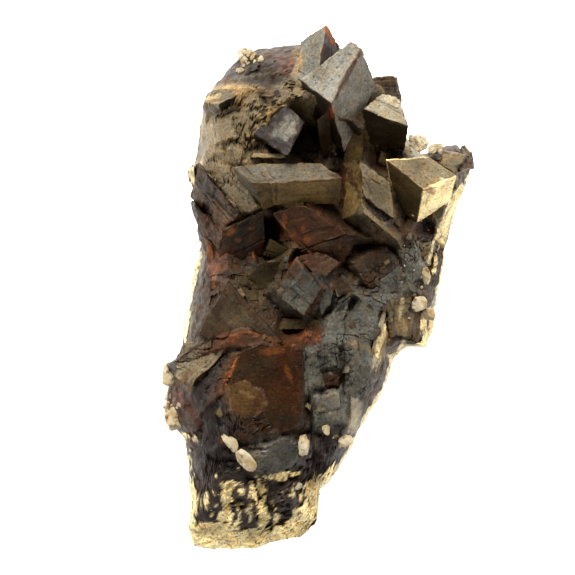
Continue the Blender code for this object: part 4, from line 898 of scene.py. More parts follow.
# finer facets of the crust, in millimetres: tone, rust, roughness, gloss, then the corners
fineFacets = (
    ('plum', 0.1, 0.5, 0.1, (-14.8, 38.8, 24.2), (-12.3, 40.8, 23.6), (-8.4, 41.7, 23.2),
     (-5.7, 41, 22.8), (-6.4, 39.1, 23.6), (-9.8, 37.6, 24.2), (-13.7, 37.6, 24.4)),
    ('plum', 0.3, 0.8, 0, (-17.1, 36.6, 22), (-14.5, 38, 22.8), (-9.8, 37.1, 23),
     (-4.8, 37.8, 22.4), (-3.6, 36.1, 22.6), (-9.8, 35.3, 23), (-15.5, 35.7, 22.4)),
    ('amber', 0.1, 0.15, 1, (-13.2, -10.8, 26.8), (-9.8, -9.6, 27), (-5.5, -9.8, 26.9),
     (-2.5, -10.8, 26.5), (-2.2, -16.9, 25.9), (-2.5, -23.1, 25.2), (-5.2, -25.1, 24.9),
     (-9.8, -25.5, 24.9), (-13.7, -24.2, 25), (-15.5, -21, 25.3), (-15.7, -16.9, 25.8),
     (-14.8, -13.3, 26.4)),
    ('honey', 0.1, 0.15, 0.9, (-15.7, -17.1, 26.1), (-12.7, -16.2, 26.2), (-9.8, -18.1, 26),
     (-8.9, -20.5, 25.8), (-10.9, -22.6, 25.5), (-13.5, -22.8, 25.4), (-15.3, -21.2, 25.6)),
    ('steel', 0.05, 0.35, 0.3, (-14.8, -24.4, 25.2), (-9.8, -25.6, 25.1), (-4.8, -25.3, 25.1),
     (-2.2, -23.7, 25.2), (-2.7, -27.8, 23.6), (-4.8, -31.8, 21.8), (-8.2, -33.1, 21.2),
     (-11.1, -31.8, 21.8), (-13.6, -28.2, 23.6)),
    ('steel', 0.1, 0.6, 0, (-2, -11.4, 26.9), (-0.2, -11.2, 27), (0.9, -16.7, 26.2),
     (-2, -18, 26.1)),
    ('steel', 0.1, 0.6, 0, (0.9, -10.7, 26.6), (3, -10.1, 26.6), (3.4, -13.5, 26.3),
     (1, -14.2, 26.3)),
    ('steel', 0.3, 0.7, 0, (5, -8.2, 26.3), (6.9, -7.8, 26), (7.6, -12.8, 25.4),
     (5.7, -16.7, 25.1)),
    ('slate', 0.05, 0.7, 0, (-0.2, -19.2, 25.4), (3.7, -18.3, 25.3), (4.1, -21, 24.6),
     (0.2, -21.4, 24.7)),
    ('plum', 0.2, 0.9, 0, (-20, -19.6, 23.3), (-17.5, -20.1, 23.6), (-18, -23.9, 22),
     (-20.4, -22.9, 21.6)),
    ('plum', 0.2, 0.9, 0, (-16.9, -21, 24), (-15.2, -22.8, 24), (-14.5, -26.1, 22.6),
     (-16.6, -25, 22.6)),
    ('plum', 0.1, 1, 0, (-2, -27.5, 20.5), (0.9, -26.8, 20.6), (1.6, -30.1, 19.6),
     (-1.2, -31.2, 19.6)),
    ('steel', 0.1, 0.8, 0, (3.8, -25, 21.8), (5.9, -24.3, 21.6), (6.8, -27.6, 20.3),
     (4.5, -28.6, 20.3)),
    ('plum', 0.1, 1, 0, (-13.8, -35.8, 19.2), (-11.3, -35.5, 19.2), (-10.9, -39.1, 18.4),
     (-13.6, -39.6, 18.4)),
    ('plum', 0.1, 1, 0, (-18.8, -34, 19.3), (-17, -33.7, 19.4), (-16.8, -37.6, 18.4),
     (-19.2, -38.2, 18.2)),
    ('plum', 0.1, 1, 0, (-7.3, -36.2, 19.3), (-4.5, -35.5, 19.2), (-4.1, -39.1, 18), (-7, -40, 18)),
    ('fawn', 0.1, 0.8, 0, (-20.8, 30.6, 26.3), (-16.9, 31.6, 28.6), (-16.2, 29.1, 29.2),
     (-20.3, 27.9, 27)),
    ('fawn', 0.1, 0.8, 0, (-21.4, 26.7, 26.2), (-17.6, 27.3, 28.8), (-16.9, 24.5, 29.6),
     (-20.8, 23.5, 27)),
    ('gold', 0.1, 0.8, 0, (-19.4, 35.9, 28), (-13.7, 36.2, 29.2), (-11.9, 35.4, 29.6),
     (-16.9, 33.4, 31.2)),
    ('tan', 0.2, 0.9, 0, (-8, 35, 31.6), (-5.9, 35.7, 31.8), (-4.8, 34.1, 32.6),
     (-6.9, 32.9, 32.4)),
    ('tan', 0.2, 0.7, 0, (-14, 34.4, 29.6), (-10.9, 35.1, 29.8), (-9.8, 32.9, 30.2),
     (-12.6, 31.9, 30.2)),
    ('tan', 0.1, 0.7, 0, (-17.9, 30.1, 29.4), (-15.1, 30.8, 29.8), (-14.4, 27.3, 31),
     (-17.2, 26.6, 30)),
    ('gold', 0.1, 0.6, 0, (-9.8, 30.4, 31.8), (-7.3, 31.8, 32.2), (-6.2, 29.7, 32.6),
     (-8.4, 27.9, 32.6)),
)

# hollows in the crust: middle x and y, floor height, radius
hollows = (
    (-2.1, 26.3, 20, 2.2), (-0.9, 24.7, 20, 1.6), (-8.8, 10.4, 19, 0.7), (-9.1, 7.5, 19, 0.6),
    (12.1, 23.7, 17, 1.6), (-4.6, -6.5, 19, 0.7), (5.4, 25, 21, 1), (2.3, 23.2, 23, 1),
    (-13.8, -39, 15.5, 0.5), (-3, 5, 22, 0.4), (20, 11.5, 17, 0.9), (6.2, -2.5, 22, 0.5),
)

# where jagged cracks run: middle x and y, radius, strength
crackZones = ((-13, 29, 8, 1.0), (-6, 33, 6, 1.0), (-17, 22, 5, 0.8), (3, -12, 6, 0.4),
              (9, -16, 6, 0.4), (-22, -14, 6, 0.5), (-10, -34, 16, 0.7), (19, 4, 8, 0.6),
              (24, 22, 5, 0.5),
              (-7, 40, 7, 0.4), (12, 1, 5, 0.5), (-18, 25, 5, 0.5))


# distance outside a convex outline seen from above, negative within it
def outsideLoop(x, y, corners):
    after = np.roll(corners, -1, axis=0)
    area = (corners[:, 0] * after[:, 1] - after[:, 0] * corners[:, 1]).sum()
    loop = corners if area > 0 else corners[::-1]
    away = np.full(len(x), -99.0)
    for a, b in zip(loop, np.roll(loop, -1, axis=0)):
        along = b[:2] - a[:2]
        along = along / max(np.linalg.norm(along), 1e-6)
        away = np.maximum(away, (x - a[0]) * along[1] - (y - a[1]) * along[0])
    return away


# 1 on the lines where the nearest two of some scattered points are equally near, else 0
def crackLines(points, size, width, seed):
    bend = [layeredNoise(points, size * 0.5, 3, seed + shift) for shift in (5, 9)]
    p = points[:, :2] / size + 0.35 * np.stack(bend, 1)
    low = np.floor(p).astype(np.int64)
    first, second = np.full(len(p), 9.0), np.full(len(p), 9.0)
    for dx in (-1, 0, 1):
        for dy in (-1, 0, 1):
            i, j = low[:, 0] + dx, low[:, 1] + dy
            away = np.hypot(i + cellValue(i, j, i * 0, seed) - p[:, 0],
                            j + cellValue(i, j, i * 0, seed + 1) - p[:, 1])
            second = np.minimum(second, np.maximum(first, away))
            first = np.minimum(first, away)
    return smoothStep(width / size, width / size * 0.3, second - first)


# the crust at each place: its height, colour, rust, roughness and gloss. Each facet or block
# offers a height that falls away outside its outline, and the highest offer wins
def crustField(x, y, share):
    edge = facetEdge
    flat = np.stack([x, y, np.zeros_like(x)], 1)
    rim = rockShape['rim'] + edge['rimAbove']
    drop, edgeDrop = share ** edge['crustFall'], share ** edge['facetFall']
    height = crustHeight(x, y) * (1 - drop) + rim * drop
    mix = layeredNoise(flat, 2.4, 3, 80)[:, None] * 0.5 + 0.5
    colour = np.array(tones['dark']) * (1 - mix) + np.array(tones['brown']) * mix
    purple = smoothStep(-22, -30, y)[:, None]
    colour = colour * (1 - purple) + np.array(tones['plum']) * purple
    rust = np.clip(0.25 + layeredNoise(flat, 5.0, 2, 90), 0, 1)
    rough, gloss = np.ones(len(x)), np.zeros(len(x))
    shapes = [(crystalEnds(row)[0], row[0] in flatNames, row[6].split()[0], row[7], row[8], 0)
              for row in crystals if row[0] not in lensNames
              and (row[0] in flatNames or not isinstance(row[5], tuple))]
    shapes += [(np.array(row[4:], float), True, *row[:4]) for row in fineFacets]
    for number, (top, isFlat, tone, rusty, strength, shine) in enumerate(shapes):
        away = outsideLoop(x, y, top)
        near = np.flatnonzero(away < edge['reach'])
        spot = flat[near] + (0, 0, number * 3.1)
        ragged = edge['ragged'] * min(1, strength + 0.2)
        away = away[near] + ragged * layeredNoise(spot, 1.9, 3, 201)
        plane = np.linalg.lstsq(np.c_[top[:, :2], np.ones(len(top))], top[:, 2], rcond=None)[0]
        face = plane[0] * x[near] + plane[1] * y[near] + plane[2]
        face = np.clip(face, top[:, 2].min() - edge['under'], top[:, 2].max() + edge['over'])
        if isFlat:
            slope = [fall for limit, fall in edge['gentle'] if top[:, 1].mean() > limit][-1]
            rise = (face - edge['steep'] * np.clip(away, 0, edge['width'])
                    - slope * np.clip(away - edge['width'], 0, None))
        else:
            slope = [fall for limit, fall in edge['slopes'] if top[:, 1].mean() > limit][-1]
            rise = face - edge['below'] - slope * np.clip(away, 0, None)
        rise = rise * (1 - edgeDrop[near]) + rim * edgeDrop[near]
        won = rise > height[near]
        taken = near[won]
        height[taken] = rise[won]
        inside = smoothStep(1.8, 0.1, away[won]) * (1.0 if isFlat else 0.5)
        colour[taken] = (colour[taken] * (1 - inside[:, None])
                         + np.array(tones[tone]) * toneShift(number) * inside[:, None])
        rust[taken] = rust[taken] * (1 - inside) + rusty * 1.2 * inside
        within = smoothStep(0.3, -0.5, away[won]) * (1.0 if isFlat else 0)
        rough[taken] = 1 - within * (1 - 0.55 * strength)
        gloss[taken] = within * shine
    for spotX, spotY, floor, reach in hollows:
        away = np.hypot(x - spotX, y - spotY) + 0.5 * layeredNoise(flat, 1.5, 2, 211)
        height = np.minimum(height, floor + edge['hollowSlope'] * np.clip(away - reach, 0, None))
    return height, colour, rust, rough, gloss


# the crust is a closed body of rings: the field gives its height, then plates, lumps, flakes and
# cracks lift it where it is rough, and sand where it is sandy. A point that lies lower than the
# mean of its neighbours is darkened with painted shade, as are the cracks, and one that lies
# higher is lightened, partly as wear and partly as a painted highlight
def buildCrust():
    shape = crustShape
    angles = np.arange(shape['steps']) / shape['steps'] * 2 * math.pi
    radius = outlineRadius(angles, crustColumn)
    rim = rockShape['rim']
    shares = np.linspace(1.0, shape['innermost'], shape['rings']) ** shape['crowding']
    share = np.repeat(shares, shape['steps'])
    across = np.tile(radius, shape['rings']) * share
    x = centre[0] + np.tile(np.cos(angles), shape['rings']) * across
    y = centre[1] + np.tile(np.sin(angles), shape['rings']) * across
    height, colour, rust, rough, gloss = crustField(x, y, share)
    points = np.stack([x, y, height], 1)
    flat = points * (1, 1, 0.4)
    sand = sandShare(points)
    plate, lump, flake, swell = shape['plate'], shape['lump'], shape['flake'], shape['swell']
    fine, sandGrain, footLump = shape['fine'], shape['sandGrain'], shape['footLump']
    broken = tileValue(x + height * 0.3, y - height * 0.2, plate[0], 51)
    lift = (plate[1] * (broken - 0.5) * rough ** 2
            + lump[1] * layeredNoise(flat, lump[0], 4, 55) * rough)
    flakes = tileValue(y + height * 0.2, x, flake[0], 53)
    lift -= flake[1] * smoothStep(0.62, 0.66, flakes) * rough * (1 - gloss)
    lift += footLump[1] * smoothStep(-24, -30, y) * layeredNoise(flat, footLump[0], 2, 59)
    lift += (swell[1] * layeredNoise(flat, swell[0], 2, 57)
             + fine[1] * layeredNoise(flat, fine[0], 2, 58) * (1 - gloss))
    grit = sandGrain[1] * grainNoise(points, sandGrain[0], 60) - 0.05
    lift = lift * (1 - sand) + sand * grit
    cracks = np.zeros(len(x))
    for cx, cy, reach, strength in crackZones:
        zone = strength * smoothStep(reach, reach * 0.5, np.hypot(x - cx, y - cy))
        cracks = np.maximum(cracks, zone)
    lines = np.maximum(crackLines(flat, *shape['wideCracks'], 91),
                       crackLines(flat, *shape['fineCracks'], 191))
    cracks *= lines * smoothStep(-0.15, 0.25, layeredNoise(flat, 3.5, 2, 93))
    lift -= shape['crack'] * cracks
    free = smoothStep(rim + shape['free'][0], rim + shape['free'][1], height)
    points[:, 2] += lift * free
    sway = shape['sway'][1] * layeredNoise(points, shape['sway'][0], 3, 65) * free * rough
    points[:, 0] += sway
    points[:, 1] -= sway
    grid = points[:, 2].reshape(shape['rings'], -1)
    padded = np.pad(grid, ((3, 3), (0, 0)), 'edge')
    around = (np.roll(grid, 3, 1) + np.roll(grid, -3, 1) + padded[6:] + padded[:-6]
              + np.roll(grid, 1, 1) + np.roll(grid, -1, 1) + padded[4:-2] + padded[2:-4]) / 8
    hollow = (around - grid).ravel()
    # painted shade in the hollows, with the dark cracks; bumps are lightened partly as wear and
    # partly as a painted highlight
    sunk = np.maximum(smoothStep(*shape['sunk'], hollow), cracks) * (1 - sand)
    wearAndHighlight = smoothStep(*shape['wornAndHighlit'], -hollow) * (1 - sand) * (1 - gloss)
    colour = sanded(stained(points, colour), sand)
    low = [ringAt(part, radius, angles, rim + above) for part, above in shape['hidden']]
    rings = np.concatenate([np.array(low), points.reshape(shape['rings'], shape['steps'], 3)])
    everything, faces = ringBody(rings)

    # the values of the top, with its first ring's for the two rings below, and two for the middles
    def whole(values):
        rest = np.concatenate([values[:shape['steps']]] * 2)
        return np.concatenate([rest, values, values[:2] * 0 + values[-1]])
    base = meshFrom('crust', everything, faces, dict(tone=whole(colour)),
                    dict(rust=whole(rust * (1 - sand)), wearAndHighlight=whole(wearAndHighlight), sunk=whole(sunk),
                         gloss=whole(gloss)), dict(along=everything))
    piece = joinBodies('sideriteCrust', base, [])
    shadeByAngle(piece, shape['smoothAngle'])
    print('sideriteCrust', triangleCount(piece), 'triangles')
    return piece


# the chips: how many, how long in millimetres, the cell of their mesh, how steeply they lie, the
# angle of their rhombs in degrees and how much it varies, how far they stay inside the outline,
# and their tones, the last for the foot
chipShape = dict(count=85, length=(0.9, 2.3), cell=0.36, tilt=0.6, corner=100, spread=12,
                 inset=1.2, strength=0.4,
                 kinds=('brown brown dark', 'plum dark brown', 'tan brown olive',
                        'steel plum dark', 'olive brown dark'), atFoot='plum plum dark')


# little rhombs half sunk in the crust, turned at random; smooth ground has none
def buildChips():
    shape = chipShape
    draw = np.random.default_rng(29)
    count = shape['count']
    angle = draw.uniform(0, 2 * math.pi, count)
    share = np.sqrt(draw.uniform(0.02, 0.93, count))
    radius = outlineRadius(angle, crustColumn) - shape['inset']
    x = centre[0] + np.cos(angle) * radius * share
    y = centre[1] + np.sin(angle) * radius * share
    field = crustField(x, y, share)
    height, rough, gloss = field[0], field[3], field[4]
    meshes = []
    for number in range(count):
        size = draw.uniform(*shape['length']) * (0.45 + 0.55 * rough[number])
        turn = draw.uniform(0, 2 * math.pi)
        tilt = draw.uniform(-shape['tilt'], shape['tilt'], 2)
        corner = shape['corner'] + draw.uniform(-shape['spread'], shape['spread'])
        side = turn + math.radians(corner)
        edges = np.array([(math.cos(turn), math.sin(turn), tilt[0]),
                          (math.cos(side), math.sin(side), tilt[1]),
                          (-tilt[0] * 0.6, -tilt[1] * 0.6, -1.1)])
        edges[:2] *= draw.uniform(0.55, 1.0, (2, 1))
        edges *= size
        if gloss[number] > 0.1 or rough[number] < 0.4:
            continue
        start = np.array([x[number], y[number], height[number] + size * 0.2])
        start = start - (edges[0] + edges[1]) * 0.4
        top = np.array([start, start + edges[0], start + edges[0] + edges[1], start + edges[1]])
        kind = shape['kinds'][int(draw.integers(len(shape['kinds'])))]
        if y[number] < sandLook['foot']:
            kind = shape['atFoot']
        meshes.append(crystalMesh('chip%03d' % number, top, top + edges[2], kind,
                                  float(draw.uniform(0, 0.5)), shape['strength'], 200 + number,
                                  shape['cell']))
    piece = joinBodies('sideriteChips', meshes[0], meshes[1:])
    shadeByAngle(piece, crystalRelief['smoothAngle'])
    print('sideriteChips', triangleCount(piece), 'triangles')
    return piece


# the pale sugary rock: rings up its bulging side and in over its top, roughened by grains
def buildRock():
    steps = rockShape['steps']
    angles = np.arange(steps) / steps * 2 * math.pi
    radius = outlineRadius(angles, rockColumn)
    wobble = 1 + 0.010 * np.sin(angles * 17) + 0.008 * np.sin(angles * 29 + 1)
    bulge, rim = rockShape['bulge'], rockShape['rim']
    rings = [ringAt(rockShape['foot'], radius * wobble, angles, 0.0)]
    for t in np.linspace(0.03, 1, rockShape['sideRings']):
        swell = math.sin(min(t * rim / bulge, 1.0) * math.pi / 2)
        slim = rockShape['foot'] + 0.055 * swell - 0.02 * max(0.0, t * rim / bulge - 1) ** 2
        rings.append(ringAt(slim, radius * (wobble * (1 - t) + t), angles, rim * t * 0.97))
    for share in np.concatenate([np.linspace(0.995, 0.78, rockShape['edgeRings']),
                                 np.linspace(0.7, 0.05, rockShape['topRings'])]):
        rings.append(ringAt(share * 0.975, radius, angles,
                            lambda x, y, s=share: rockHeight(s, x, y)))
    points, faces = ringBody(rings)
    out = points[:, :2] - centre
    distance = np.linalg.norm(out, axis=1, keepdims=True)
    out = out / np.maximum(distance, 1e-6)
    sand = rockShape['sand'] * (grainNoise(points, rockShape['sandSize'], 5) - 0.5)
    lump = rockShape['lump'] * (layeredNoise(points, rockShape['lumpSize'], 3, 9) - 0.6)
    free = smoothStep(0.0, 0.8, points[:, 2])
    turn = np.arctan2(points[:, 1] - centre[1], points[:, 0] - centre[0])
    edge = np.interp(turn, angles - math.pi, np.roll(radius, steps // 2), period=2 * math.pi)
    inner = smoothStep(0.6, 0.85, distance[:, 0] / edge)
    points[:, :2] += out * ((sand + lump) * free * inner)[:, None]
    points[:, 2] += (sand * 0.8 - 0.12) * smoothStep(rim - 1.5, rim, points[:, 2]) * inner
    piece = objectFrom('paleRock', meshFrom('paleRock', points, faces))
    shadeByAngle(piece, rockShape['smoothAngle'])
    print('paleRock', triangleCount(piece), 'triangles')
    return piece


# the grains and crumbs: cells along a grain, the planes that cut it and how near they come, its
# roughness, how much larger than its row it is, how much of it stands above the crust, the same
# for a crumb, and how level and how high the ground is where a crumb stays
grainSurface = dict(cells=16, planes=11, nearest=(0.66, 1.05), rough=0.12, grow=1.08, lift=0.15,
                    smoothAngle=32, crumbCells=2, crumbPlanes=6, crumbAngle=25,
                    levelGround=0.3, highestOnSand=30, highest=21.5, lowest=5)


# a faceted lump: from the middle, each direction runs to the nearest of some random planes,
# or of a rounded cube's skin, plus a little noise
def grainPoints(middle, half, cells, planes, seed, turn):
    shares, faces = blockSkin(cells, cells, cells)
    ball = shares * 2 - 1
    ball = ball / np.linalg.norm(ball, axis=1, keepdims=True)
    draw = np.random.default_rng(seed)
    normals = draw.normal(size=(planes, 3))
    normals /= np.linalg.norm(normals, axis=1, keepdims=True)
    offsets = draw.uniform(*grainSurface['nearest'], planes)
    facing = np.maximum(ball @ normals.T, 1e-3)
    reach = np.minimum((offsets / facing).min(1), (ball ** 4).sum(1) ** -0.25)
    reach *= 1 + grainSurface['rough'] * smoothNoise(ball * 3.0 + seed, 1.0, seed)
    shaped = ball * reach[:, None] * np.array(half)
    cosine, sine = math.cos(math.radians(turn)), math.sin(math.radians(turn))
    x = shaped[:, 0] * cosine - shaped[:, 1] * sine
    y = shaped[:, 0] * sine + shaped[:, 1] * cosine
    return np.array(middle) + np.stack([x, y, shaped[:, 2]], 1), faces


# join lumps, each a pair of points and faces, into one mesh
def meshOfLumps(name, lumps):
    counts = np.cumsum([0] + [len(points) for points, faces in lumps])
    return meshFrom(name, np.concatenate([points for points, faces in lumps]),
                    np.concatenate([faces + n for (points, faces), n in zip(lumps, counts)]))


def buildGrains():
    look = grainSurface
    rows = np.array(grainRows)
    away = rows[:, :2] - centre
    reach = outlineRadius(np.arctan2(away[:, 1], away[:, 0]), crustColumn)
    ground = crustField(rows[:, 0], rows[:, 1], np.linalg.norm(away, axis=1) / reach)[0]
    rows[:, 2] = np.maximum(rows[:, 2], ground + look['lift'] * rows[:, 5])
    lumps = [grainPoints(row[:3], row[3:6] * look['grow'], look['cells'], look['planes'],
                         number, row[6])
             for number, row in enumerate(rows)]
    piece = objectFrom('quartzGrains', meshOfLumps('quartzGrains', lumps))
    shadeByAngle(piece, look['smoothAngle'])
    print('quartzGrains', triangleCount(piece), 'triangles')
    return piece


# small pale crumbs: where they are thrown (two corners), how many, half sizes, and whether they
# keep to sandy ground
crumbs = (((-24, -47), (2, -31), 700, (0.06, 0.18), True),
          ((15, -13), (26, 20), 55, (0.08, 0.3), False),
          ((-26, -30), (22, 42), 25, (0.05, 0.12), False),
          ((-14.6, 39), (-10, 44), 45, (0.2, 0.55), False),
          ((16.2, 24.3), (22.5, 28), 60, (0.2, 0.6), False),
          ((-28, -27), (-24.5, -13), 30, (0.2, 0.5), False))


# each crumb is dropped straight down from above, and stays where it lands on level ground
def buildCrumbs():
    look = grainSurface
    draw = np.random.default_rng(3)
    graph = bpy.context.evaluated_depsgraph_get()
    lumps = []
    for low, high, count, sizes, onSand in crumbs:
        for x, y in draw.uniform(low, high, (count, 2)):
            hit, place, normal = bpy.context.scene.ray_cast(
                graph, (x * mm, y * mm, 0.06), (0, 0, -1))[:3]
            half = draw.uniform(*sizes) * draw.uniform(0.7, 1.4, 3)
            limit, turn = draw.uniform(0, 0.6), draw.uniform(0, 180)
            place = np.array(place) / mm
            highest = look['highestOnSand'] if onSand else look['highest']
            if not hit or normal.z < look['levelGround']:
                continue
            if place[2] < look['lowest'] or place[2] > highest:
                continue
            if onSand and sandShare(place[None])[0] < limit:
                continue
            lumps.append(grainPoints(place, half, look['crumbCells'], look['crumbPlanes'],
                                     500 + len(lumps), turn))
    piece = objectFrom('paleCrumbs', meshOfLumps('paleCrumbs', lumps))
    shadeByAngle(piece, look['crumbAngle'])
    print('paleCrumbs', triangleCount(piece), 'triangles')
    return piece


# small helpers for node trees
def addNode(tree, kind, **values):
    node = tree.nodes.new(kind)
    for key, value in values.items():
        setattr(node, key, value)
    return node


def feed(tree, node, key, value):
    if hasattr(value, 'is_output') or hasattr(value, 'links'):
        tree.links.new(value, node.inputs[key])
    else:
        node.inputs[key].default_value = value


def mathNode(tree, operation, *values, clamp=False):
    node = addNode(tree, 'ShaderNodeMath', operation=operation, use_clamp=clamp)
    for number, value in enumerate(values):
        feed(tree, node, number, value)
    return node.outputs[0]


def rangeNode(tree, value, low, high, toLow=0.0, toHigh=1.0):
    node = addNode(tree, 'ShaderNodeMapRange', interpolation_type='SMOOTHSTEP')
    for key, number in enumerate((value, low, high, toLow, toHigh)):
        feed(tree, node, key, number)
    return node.outputs[0]


def mixColour(tree, factor, first, second, blend='MIX'):
    node = addNode(tree, 'ShaderNodeMix', data_type='RGBA', blend_type=blend)
    feed(tree, node, 0, factor)
    feed(tree, node, 6, first)
    feed(tree, node, 7, second)
    return node.outputs[2]


def noiseNode(tree, vector, scale, detail=4.0, roughness=0.6):
    node = addNode(tree, 'ShaderNodeTexNoise')
    feed(tree, node, 'Vector', vector)
    node.inputs['Scale'].default_value = scale
    node.inputs['Detail'].default_value = detail
    node.inputs['Roughness'].default_value = roughness
    return node.outputs[0]


# where the specks and blotches of the grain fade in, and how deep a speck is in its height
grainLook = dict(coarse=0.22, pits=0.6, specks=(0.62, 0.70), blotches=(0.38, 0.66), depth=0.6)


# shared effect: earthy grain, from a position; gives a dark speck mask, a blotch mask and a
# height for the bump
def grainGroup():
    group = bpy.data.node_groups.new('earthyGrain', 'ShaderNodeTree')
    group.interface.new_socket('Vector', in_out='INPUT', socket_type='NodeSocketVector')
    group.interface.new_socket('Size', in_out='INPUT', socket_type='NodeSocketFloat')
    for key in ('Specks', 'Blotches', 'Height'):
        group.interface.new_socket(key, in_out='OUTPUT', socket_type='NodeSocketFloat')
    source = addNode(group, 'NodeGroupInput')
    sink = addNode(group, 'NodeGroupOutput')
    scaled = addNode(group, 'ShaderNodeVectorMath', operation='SCALE')
    group.links.new(source.outputs['Vector'], scaled.inputs[0])
    group.links.new(mathNode(group, 'DIVIDE', 1.0, source.outputs['Size']), scaled.inputs['Scale'])
    vector = scaled.outputs[0]
    fine = noiseNode(group, vector, 1.0, 5.0, 0.7)
    coarse = noiseNode(group, vector, grainLook['coarse'], 4.0, 0.6)
    pits = noiseNode(group, vector, grainLook['pits'], 2.0, 0.5)
    speck = rangeNode(group, pits, *grainLook['specks'])
    feed(group, sink, 'Specks', speck)
    feed(group, sink, 'Blotches', rangeNode(group, coarse, *grainLook['blotches']))
    dent = mathNode(group, 'MULTIPLY', speck, grainLook['depth'])
    height = mathNode(group, 'SUBTRACT', fine, dent)
    feed(group, sink, 'Height', height)
    return group


# the scale of the rust's blotches, how much the stain amount counts, and where it fades in
rustLook = dict(scale=420.0, amount=0.5, deep=(0.72, 0.90), bright=(0.94, 1.06))


# shared effect: rust, where the stain amount beats a blotchy noise
def rustGroup():
    group = bpy.data.node_groups.new('rustStain', 'ShaderNodeTree')
    group.interface.new_socket('Vector', in_out='INPUT', socket_type='NodeSocketVector')
    group.interface.new_socket('Amount', in_out='INPUT', socket_type='NodeSocketFloat')
    group.interface.new_socket('Deep', in_out='OUTPUT', socket_type='NodeSocketFloat')
    group.interface.new_socket('Bright', in_out='OUTPUT', socket_type='NodeSocketFloat')
    source = addNode(group, 'NodeGroupInput')
    sink = addNode(group, 'NodeGroupOutput')
    blotch = noiseNode(group, source.outputs['Vector'], rustLook['scale'], 6.0, 0.65)
    amount = mathNode(group, 'MULTIPLY', source.outputs['Amount'], rustLook['amount'])
    total = mathNode(group, 'ADD', blotch, amount)
    feed(group, sink, 'Deep', rangeNode(group, total, *rustLook['deep']))
    feed(group, sink, 'Bright', rangeNode(group, total, *rustLook['bright']))
    return group


# the finish of the siderite: sizes in metres, scales per metre, colours linear, and the lightest
# and darkest shade that each noise gives; light lightens the edges, partly as wear and partly as
# a painted highlight, and dark colours the specks and darkens the recesses as painted shade
sideriteFinish = dict(grainSize=0.00034, rustDeep=(0.080, 0.027, 0.010, 1),
                      rustBright=(0.24, 0.072, 0.016, 1), dark=(0.014, 0.010, 0.007, 1),
                      roughness=(0.44, 0.70), specular=0.22,
                      bump=0.6, bumpDistance=0.00016, striae=0.12, stretch=(0.3, 3.6, 3.6),
                      polish=0.28, warm=(1.25, 0.92, 0.55, 1), warmShare=0.5,
                      light=(1.9, 1.75, 1.5, 1), wearAndHighlightShare=0.35, deepShare=0.75,
                      brightShare=0.7, speckShare=0.65, sunkShare=0.8,
                      broadScale=190.0, broadShade=(0.62, 1.36), lineShade=(0.92, 1.08),
                      fineScale=2300.0, fineShade=(0.70, 1.30))


